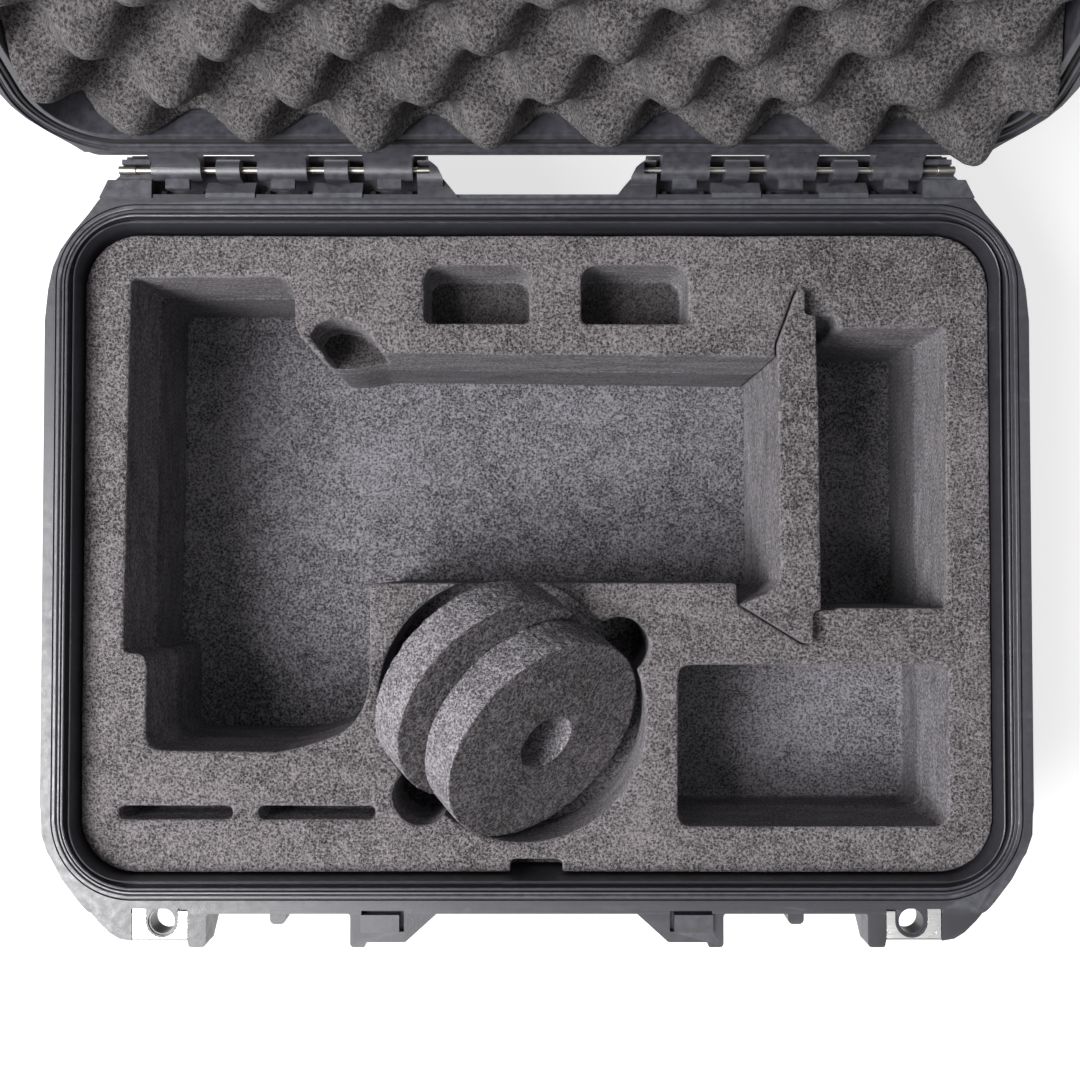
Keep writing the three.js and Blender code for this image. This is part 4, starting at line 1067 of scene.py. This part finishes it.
def make_handle_grip():
    section = fillet(GRIP_SECTION, 2.6, 5)
    grip = cut(prism_x(section, -46, 46), box(-60, 60, -181.8, -175.3, 41.2, 52.8))
    for k in range(GROOVES):
        x = (k - GROOVES // 2) * GROOVE_PITCH
        x0, x1 = x - GROOVE_HALF, x + GROOVE_HALF
        kept = prism_x(grown(section, -GROOVE_DEPTH), x0, x1)
        grip = cut(grip, cut(prism_x(grown(section, 3), x0, x1), kept))
    finish_hard(
        grip, "handle_grip_sleeve", "handle", GRIP_RUBBER, "handle_grip", bevel=0.35
    )


def make_valve():
    """A flanged plug with a ring groove and six small holes."""
    valve = cyl_y(0, VALVE_Z, 7.9, -171.2, -166.5)
    valve = add(valve, cyl_y(0, VALVE_Z, 11, -172.6, -170.8, 64))
    groove = cyl_y(0, VALVE_Z, 8.6, -173.5, -172.0, 64)
    valve = cut(valve, cut(groove, cyl_y(0, VALVE_Z, 6.8, -174, -171.5, 64)))
    for k in range(6):
        a = k * math.pi / 3
        x, z = 4.4 * math.cos(a), VALVE_Z + 4.4 * math.sin(a)
        valve = cut(valve, cyl_y(x, z, 0.8, -174, -171.6, 16))
    finish_hard(
        valve, "valve_moulding", "base", LATCH, "valve_body", bevel=0.25
    )


# ------------------------------------------------------------------ foam surface
def lattice_hash(ix, iy, iz, seed):
    """A repeatable value in [-1, 1] for each lattice point; the mixing is 32-bit."""
    mix_a, mix_b = np.uint32(2246822519), np.uint32(3266489917)
    h = ix.astype(np.uint32) * np.uint32(374761393)
    h = h ^ (iy.astype(np.uint32) * np.uint32(668265263))
    h = h ^ (iz.astype(np.uint32) * mix_a)
    h = h ^ np.uint32((seed * 3266489917) & 0xFFFFFFFF)
    h = (h ^ (h >> np.uint32(15))) * mix_a
    h = (h ^ (h >> np.uint32(13))) * mix_b
    h = h ^ (h >> np.uint32(16))
    return h.astype(np.float64) / 4294967295.0 * 2 - 1


def value_noise(points, cell, seed):
    """Smooth noise in [-1, 1] at points (mm); cell is one size or three."""
    place = points / np.array(cell, float) + 1000.0
    low = np.floor(place).astype(np.int64)
    f = place - low
    f = f * f * (3 - 2 * f)
    out = np.zeros(len(points))
    for i in (0, 1):
        for j in (0, 1):
            for k in (0, 1):
                weight = (
                    (f[:, 0] if i else 1 - f[:, 0])
                    * (f[:, 1] if j else 1 - f[:, 1])
                    * (f[:, 2] if k else 1 - f[:, 2])
                )
                out += weight * lattice_hash(low[:, 0] + i, low[:, 1] + j, low[:, 2] + k, seed)
    return out


def read_points(mesh):
    """Vertex places and normals as arrays."""
    count = len(mesh.vertices)
    points, normals = np.zeros(count * 3), np.zeros(count * 3)
    mesh.vertices.foreach_get("co", points)
    mesh.vertex_normals.foreach_get("vector", normals)
    return points.reshape(-1, 3), normals.reshape(-1, 3)


def write_points(mesh, points):
    mesh.vertices.foreach_set("co", points.astype(np.float32).ravel())
    mesh.update()


def voxel(obj, size):
    mod = obj.modifiers.new("v", "REMESH")
    mod.mode = "VOXEL"
    mod.voxel_size = size
    mod.adaptivity = 0.0
    apply_modifiers(obj)


def soften(obj, steps):
    """Wears the cut edges round."""
    mod = obj.modifiers.new("s", "SMOOTH")
    mod.factor = 0.5
    mod.iterations = steps
    apply_modifiers(obj)


def roughen(obj, seed, grain=0.28, lump=0.18, wave=0.35, streak=0.22, inward=0.15, dents=()):
    """Grainy level faces and streaked walls; heights in mm, all drawn in by 'inward'."""
    points, normals = read_points(obj.data)
    level = np.clip(np.abs(normals[:, 2]) * 1.6 - 0.5, 0, 1)
    cells = value_noise(points, 1.7, seed) * 0.6 + value_noise(points, 2.9, seed + 1) * 0.4
    lumps = value_noise(points, 6.5, seed + 2)
    waves = value_noise(points, 34.0, seed + 3) * 0.6 + value_noise(points, 75.0, seed + 4) * 0.4
    streaks = value_noise(points, (60.0, 60.0, 3.4), seed + 5)
    height = (
        cells * grain * (0.35 + 0.65 * level)
        + lumps * lump * (0.4 + 0.6 * level)
        + waves * wave
        + streaks * streak * (1 - level)
        - inward
    )
    moved = points + normals * height[:, None]
    for x, y, half_x, half_y, depth in dents:
        near = np.exp(-(((points[:, 0] - x) / half_x) ** 2 + ((points[:, 1] - y) / half_y) ** 2))
        moved[:, 2] -= depth * near * np.clip((points[:, 2] - (UP_Z[1] - 12)) / 12, 0, 1)
    write_points(obj.data, moved)


def soft_piece(obj, name, body, material, node, seed, size, **surface):
    voxel(obj, size)
    soften(obj, 3)
    roughen(obj, seed, **surface)
    to_metres(obj)
    hand_over(obj, name, body, material, node, sharp=0)


# ------------------------------------------------------------------ foam insert, (x, y)
FOAM_OUT = rounded_rect(-FOAM_X, -FOAM_Y, FOAM_X, FOAM_Y, FOAM_R, 12)
# The large pocket on the -X side with its arm towards +X.
MAIN = fillet([
    (-211.6, 143.2), (-213.9, -52.3), (-206.4, -52.6), (-203.2, -54), (-201.8, -58),
    (-202.2, -95.5), (-200.8, -100), (-197.4, -102.3), (-190, -102.9), (-150, -103.1),
    (-133, -103.2), (-120.2, -100.4), (-108.2, -96.5), (-100.5, -93.4), (-94.5, -88),
    (-90, -80.5), (-87.6, -73), (-86.6, -64), (-86.6, -16.1), (125, -16.1), (125, 101.2),
    (-86, 103.4), (-101, 100.4), (-113, 100.4), (-124, 113), (-126.2, 118), (-126.6, 132),
    (-128.4, 138.5), (-132, 142.6), (-137, 143.4),
], 2.4, 4)
THUMB = fillet([
    (-118.4, 112.8), (-114, 118.8), (-107, 121.2), (-97, 119.6), (-88, 113.8), (-82, 106.6),
    (-79.6, 99.5), (-82, 96), (-105, 95),
], 4, 5, only=(1, 2, 3, 4, 5))
DIVIDER = [
    (124.9, -15), (124.9, 108), (129, 119), (135.2, 136.6), (139.2, 136.6), (139, 122.4),
    (144.4, 122.4), (146, 40), (146.4, -30), (142.6, -30.6), (142.4, -47.4), (137.4, -47.4),
    (104.4, -27.2), (119.6, -20.4),
]
# The slot that takes the divider.
KEYWAY = [
    (124.3, -15), (124.3, 108.2), (128.6, 119.2), (135.0, 137.0), (140.4, 137.0),
    (140.4, 123.0), (157, 123.0), (157, 115), (157, -30), (143.0, -30.6), (142.9, -47.9),
    (137.3, -47.9), (103.9, -27.3), (103.9, -15),
]
PIT_X, PIT_Y, PIT_R = -7.2, -85.6, 64.1
PIT_LONG = 14  # the disc pocket runs on this far behind the leaning discs
PIT_DIR = Vector((0.7683, -0.6401))
NOTCHES = ((43.1, -48.6), (-59.4, -126.1))
DENTS = ((146.0, 130.5, 9.0, 5.5, 6.0), (148.0, -40.5, 6.5, 6.5, 4.5))  # x, y, half sizes, depth


def pit_outline(half_steps=48):
    """Two half circles joined by straight sides; the far one lies against PIT_DIR."""
    first = math.atan2(PIT_DIR.y, PIT_DIR.x)
    far = (PIT_X - PIT_DIR.x * PIT_LONG, PIT_Y - PIT_DIR.y * PIT_LONG)
    points = []
    for half, (x, y) in enumerate(((PIT_X, PIT_Y), far)):
        for k in range(half_steps + 1):
            a = first - math.pi / 2 + half * math.pi + math.pi * k / half_steps
            points.append((x + PIT_R * math.cos(a), y + PIT_R * math.sin(a)))
    return points


# Pockets as (outline, floor z). The deep ones go through both blocks' seam.
MAIN_POCKET = (MAIN, 10)
DEEP_POCKETS = (
    (KEYWAY, 10),
    (rounded_rect(156, -28.9, 212.4, 116.2, 0), 10),
    (rounded_rect(73.2, -141.5, 212.7, -58.6, 6, 6), 45.5),
)
BACK_POCKETS = (
    (THUMB, 88),
    (rounded_rect(-58.8, 119.1, -3.8, 149.6, (0, 0, 8, 8), 8), 85),
    (rounded_rect(23.4, 119.1, 78.9, 149.6, (0, 0, 8, 8), 8), 85),
)
FRONT_POCKETS = (
    (pit_outline(), 60),
    (circle(15, 64, *NOTCHES[0]), 60),
    (circle(15, 64, *NOTCHES[1]), 60),
    (rounded_rect(-215.7, -138, -157.1, -131.2, 0), 92),
    (rounded_rect(-143.6, -138, -83.5, -131.2, 0), 92),
    (rounded_rect(-13.5, -170, 13, -158.8, 0), 104),
)


def carved(levels, pockets):
    return cut(prism(FOAM_OUT, *levels), *[prism(outline, z, 130) for outline, z in pockets])


def make_insert():
    upper = carved(UP_Z, (MAIN_POCKET, *BACK_POCKETS, *DEEP_POCKETS, *FRONT_POCKETS))
    soft_piece(
        upper, "foam_upper_cut", "foam_insert", FOAM_UPPER, "foam_upper_block",
        seed=11, size=1.35, dents=DENTS,
    )
    lower = carved(LOW_Z, (MAIN_POCKET, *DEEP_POCKETS))
    soft_piece(
        lower, "foam_lower_cut", "foam_insert", FOAM_LOWER, "foam_lower_block",
        seed=23, size=2.0,
    )
    soft_piece(
        prism(FOAM_OUT, *PAD_Z), "foam_pad_sheet", "foam_insert", FOAM_LOWER,
        "foam_bottom_pad", seed=37, size=2.0, inward=0.2,
    )
    soft_piece(
        prism(DIVIDER, PAD_Z[1] + 0.5, 127.3), "foam_divider_cut", "divider", FOAM_UPPER,
        "foam_divider", seed=41, size=1.2, grain=0.24, wave=0.3,
    )


# ------------------------------------------------------------------ lid foam, drawn closed
EGG_X, EGG_Y0, EGG_Y1, EGG_R = 234.6, -164.4, 165.6, 27.0
EGG_PITCH = 57.6
EGG_BACK, EGG_VALLEY = PART_Z + LID_IN - 0.4, 164.0  # z of the backing and of the valleys
# Fingers in the row next to the hinge hang unevenly; the one nearest +X has drooped.
FINGER_X = [-204, -142, -82, -22, 35, 96, 151, 204]
FINGER_Z = [128.5, 124.3, 118.0, 119.2, 121.2, 121.0, 117.7, 109.5]


def rounded_grid(columns, rows):
    """A flat grid whose corner points are pulled in to the corner radius."""
    x, y = np.meshgrid(
        np.linspace(-EGG_X, EGG_X, columns + 1), np.linspace(EGG_Y0, EGG_Y1, rows + 1)
    )
    middle, half = (EGG_Y0 + EGG_Y1) / 2, (EGG_Y1 - EGG_Y0) / 2
    over_x = np.abs(x) - (EGG_X - EGG_R)
    over_y = np.abs(y - middle) - (half - EGG_R)
    length = np.hypot(over_x, over_y)
    corner = (over_x > 0) & (over_y > 0) & (length > EGG_R)
    pull = np.where(corner, EGG_R / np.maximum(length, 1e-9), 1.0)
    hit = pull < 1
    x = np.where(hit, np.sign(x) * (EGG_X - EGG_R + over_x * pull), x)
    y = np.where(hit, np.sign(y - middle) * (half - EGG_R + over_y * pull) + middle, y)
    return x, y


def egg_height(x, y):
    """Rounded fingers in a staggered pattern."""
    wave = np.cos(2 * np.pi * (x - 35.1) / EGG_PITCH)
    wave = wave * np.cos(2 * np.pi * (y - EGG_Y1 + 9) / EGG_PITCH)
    rise = (np.clip((1 + wave) / 2, 0, 1) + 0.01) ** 0.62 / 1.01**0.62
    first = np.interp(x, FINGER_X, FINGER_Z)
    rest = 121.0 + 2.2 * np.sin(x * 0.031 + y * 0.023) + 1.6 * np.sin(x * 0.017 - y * 0.041 + 1.3)
    near_hinge = np.clip((y - 128.0) / 14.0, 0, 1)
    tips = rest + (first - rest) * near_hinge
    return EGG_VALLEY + (tips - EGG_VALLEY) * rise


def egg_crate(columns, rows):
    """The closed sheet: fingers, flat backing and the side walls between them."""
    x, y = rounded_grid(columns, rows)
    points = np.stack([x.ravel(), y.ravel(), egg_height(x, y).ravel()], 1)
    count, wide = len(points), columns + 1
    backing = points.copy()
    backing[:, 2] = EGG_BACK
    i, j = np.meshgrid(np.arange(columns), np.arange(rows))
    first = (j * wide + i).ravel()
    top = np.stack([first, first + wide, first + wide + 1, first + 1], 1)
    bottom = top[:, ::-1] + count
    edge = list(range(columns))
    edge += [columns + k * wide for k in range(rows)]
    edge += [rows * wide + k for k in range(columns, 0, -1)]
    edge += [k * wide for k in range(rows, 0, -1)]
    walls = [(a, b, b + count, a + count) for a, b in zip(edge, edge[1:] + edge[:1])]
    verts = np.concatenate([points, backing]).tolist()
    return mesh_object(verts, top.tolist() + bottom.tolist() + walls)


def make_lid_foam():
    obj = egg_crate(*(((330, 232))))
    mesh = obj.data
    work = bmesh.new()
    work.from_mesh(mesh)
    bmesh.ops.remove_doubles(work, verts=work.verts, dist=0.01)
    bmesh.ops.dissolve_degenerate(work, edges=work.edges, dist=0.005)
    bmesh.ops.recalc_face_normals(work, faces=work.faces)
    work.to_mesh(mesh)
    work.free()
    points, normals = read_points(mesh)
    fingers = points[:, 2] < 170
    height = (
        value_noise(points, 1.8, 61) * 0.22
        + value_noise(points, 3.2, 62) * 0.15
        + value_noise(points, 26, 63) * 0.8
    )
    write_points(mesh, points + normals * (height * fingers)[:, None])
    to_metres(obj, LID_M)
    hand_over(obj, "lid_foam_eggcrate", "lid", FOAM_LID, "lid_foam", sharp=0)
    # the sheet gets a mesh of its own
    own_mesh(obj)


# ------------------------------------------------------------------ foam discs
TILT = rad(50.0)
FRONT_R, REAR_R, FRONT_THICK, REAR_THICK = 59.0, 58.6, 22.4, 22.8
DISC_ACROSS = -0.4
# Disc centres as (along PIT_DIR, up from the insert's top); the rear one slid back and up.
FRONT_AT = (7.9, 6.3)
STEP, SLIDE = (FRONT_THICK + REAR_THICK) / 2 + 0.5, 22
REAR_AT = (
    FRONT_AT[0] - math.sin(TILT) * STEP - math.cos(TILT) * SLIDE,
    FRONT_AT[1] - math.cos(TILT) * STEP + math.sin(TILT) * SLIDE,
)


def pit_matrix():
    """The pocket's frame: X along PIT_DIR, origin at the top of the insert."""
    along = Vector((PIT_DIR.x, PIT_DIR.y, 0)).normalized()
    across = Vector((0, 0, 1)).cross(along)
    axes = Matrix(
        ((along.x, across.x, 0, 0), (along.y, across.y, 0, 0), (0, 0, 1, 0), (0, 0, 0, 1))
    )
    return Matrix.Translation((PIT_X, PIT_Y, UP_Z[1])) @ axes


def make_disc(label, at, radius, thick, hole, seed):
    obj = prism(circle(radius, 128), -thick / 2, thick / 2)
    if hole:
        obj = cut(obj, prism(circle(15, 64), -30, 30))
    lean = Matrix.Translation((at[0], DISC_ACROSS, at[1])) @ Matrix.Rotation(TILT, 4, "Y")
    place = pit_matrix() @ lean
    voxel(obj, 1.1)
    points, normals = read_points(obj.data)
    rim = np.abs(normals[:, 2]) < 0.5
    height = (
        value_noise(points, 1.7, seed) * 0.26
        + value_noise(points, 3.4, seed + 1) * 0.22
        + value_noise(points, 30, seed + 2) * 0.35
        - 0.25
    )
    height += rim * value_noise(points, (2.4, 2.4, 30), seed + 3) * 0.2
    write_points(obj.data, points + normals * height[:, None])
    to_metres(obj, place)
    name, body = f"foam_disc_{label}", f"disc_{label}"
    hand_over(obj, f"{name}_cut", body, DISC_REST, name, sharp=0)
    # painted shade: the face turned upwards, away from the key light, takes the darker foam
    mesh = obj.data
    mesh.materials.append(DISC_FACE_SHADE_PAINTED)
    normals = np.zeros(len(mesh.polygons) * 3)
    mesh.polygons.foreach_get("normal", normals)
    axis = np.array((place.to_3x3() @ Vector((0, 0, 1))).normalized())
    upper = normals.reshape(-1, 3) @ axis > 0.75
    mesh.polygons.foreach_set("material_index", upper.astype(np.int32))
    mesh.update()


# ------------------------------------------------------------------ stage (metres)
def make_floor():
    corners = [(-6, -6, 0), (6, -6, 0), (6, 6, 0), (-6, 6, 0)]
    floor = mesh_object(corners, [(0, 1, 2, 3)], "studio_floor")
    mat = Shader("studio_paper")
    blotch = mat.remap(mat.noise(scale=3, detail=3), (0.3, 0.7))
    mat.surface(
        Base_Color=mat.mix(blotch, (0.50, 0.50, 0.50, 1), (0.52, 0.52, 0.52, 1)),
        Roughness=0.9,
        Specular_IOR_Level=0.1,
        Emission_Color=(1, 1, 1, 1),
        Emission_Strength=0.7,
    )
    floor.data.materials.append(mat.mat)
    floor.location.z = -0.0005


def make_world(light=0.045, backdrop=0.9):
    """The camera sees a pale backdrop; everything else is lit by a dim one."""
    world = bpy.data.worlds.new("studio")
    scene.world = world
    world.use_nodes = True
    nodes, links = world.node_tree.nodes, world.node_tree.links
    dim = nodes["Background"]
    pale = nodes.new("ShaderNodeBackground")
    for node, strength in ((dim, light), (pale, backdrop)):
        node.inputs["Color"].default_value = (1, 1, 1, 1)
        node.inputs["Strength"].default_value = strength
    path = nodes.new("ShaderNodeLightPath")
    choice = nodes.new("ShaderNodeMixShader")
    links.new(path.outputs["Is Camera Ray"], choice.inputs[0])
    links.new(dim.outputs[0], choice.inputs[1])
    links.new(pale.outputs[0], choice.inputs[2])
    links.new(choice.outputs[0], nodes["World Output"].inputs["Surface"])


def area_light(name, at, target, power, size):
    data = bpy.data.lights.new(name, "AREA")
    data.energy = power
    data.shape = "RECTANGLE"
    data.size, data.size_y = size
    obj = bpy.data.objects.new(name, data)
    scene.collection.objects.link(obj)
    obj.location = at
    obj.rotation_euler = (Vector(target) - Vector(at)).to_track_quat("-Z", "Y").to_euler()


def make_camera():
    """Looks almost straight down from 600 mm above the insert."""
    data = bpy.data.cameras.new("camera")
    data.sensor_width = 36
    data.lens = 38.6
    data.clip_start = 0.01
    obj = bpy.data.objects.new("camera", data)
    scene.collection.objects.link(obj)
    obj.location = (0.0016, -0.0083, (UP_Z[1] + 600) / 1000)
    look = Vector((0.0016, 0.0061, UP_Z[1] / 1000)) - obj.location
    z = -look.normalized()
    x = Vector((0, 1, 0)).cross(z).normalized()
    y = z.cross(x)
    obj.rotation_euler = Matrix((x, y, z)).transposed().to_euler()
    scene.camera = obj


# ------------------------------------------------------------------ build
make_base()
make_lid()
make_seal()
for label, side in NAMED_SIDES:
    make_pins(label, side)
for label, side in NAMED_SIDES:
    make_sleeve("base", label, side, top=132.6, bottom=119)
    make_sleeve("lid", label, side, top=149, bottom=137.8, matrix=LID_M)
for label, side in NAMED_SIDES:
    make_latch(label, side)
make_handle_frame()
make_handle_grip()
make_valve()
make_insert()
make_lid_foam()
make_disc("front", FRONT_AT, FRONT_R, FRONT_THICK, hole=True, seed=71)
make_disc("rear", REAR_AT, REAR_R, REAR_THICK, hole=False, seed=83)

make_floor()
make_world()
area_light("key_left", (-1.02, -0.42, 1.48), target=(0, 0, 0.12), power=58, size=(1.0, 0.9))
area_light("front_top", (0.05, -0.85, 1.75), target=(0, -0.05, 0.12), power=5.0, size=(1.5, 0.7))
area_light("back_top", (0.0, 0.78, 1.7), target=(0, 0.05, 0.12), power=1.7, size=(1.5, 0.45))
area_light("fill_right", (1.0, 0.05, 1.6), target=(0, 0, 0.1), power=2.0, size=(0.5, 1.3))
make_camera()
scene.view_settings.view_transform = "Standard"
scene.view_settings.look = "None"
scene.view_settings.exposure = 0.0
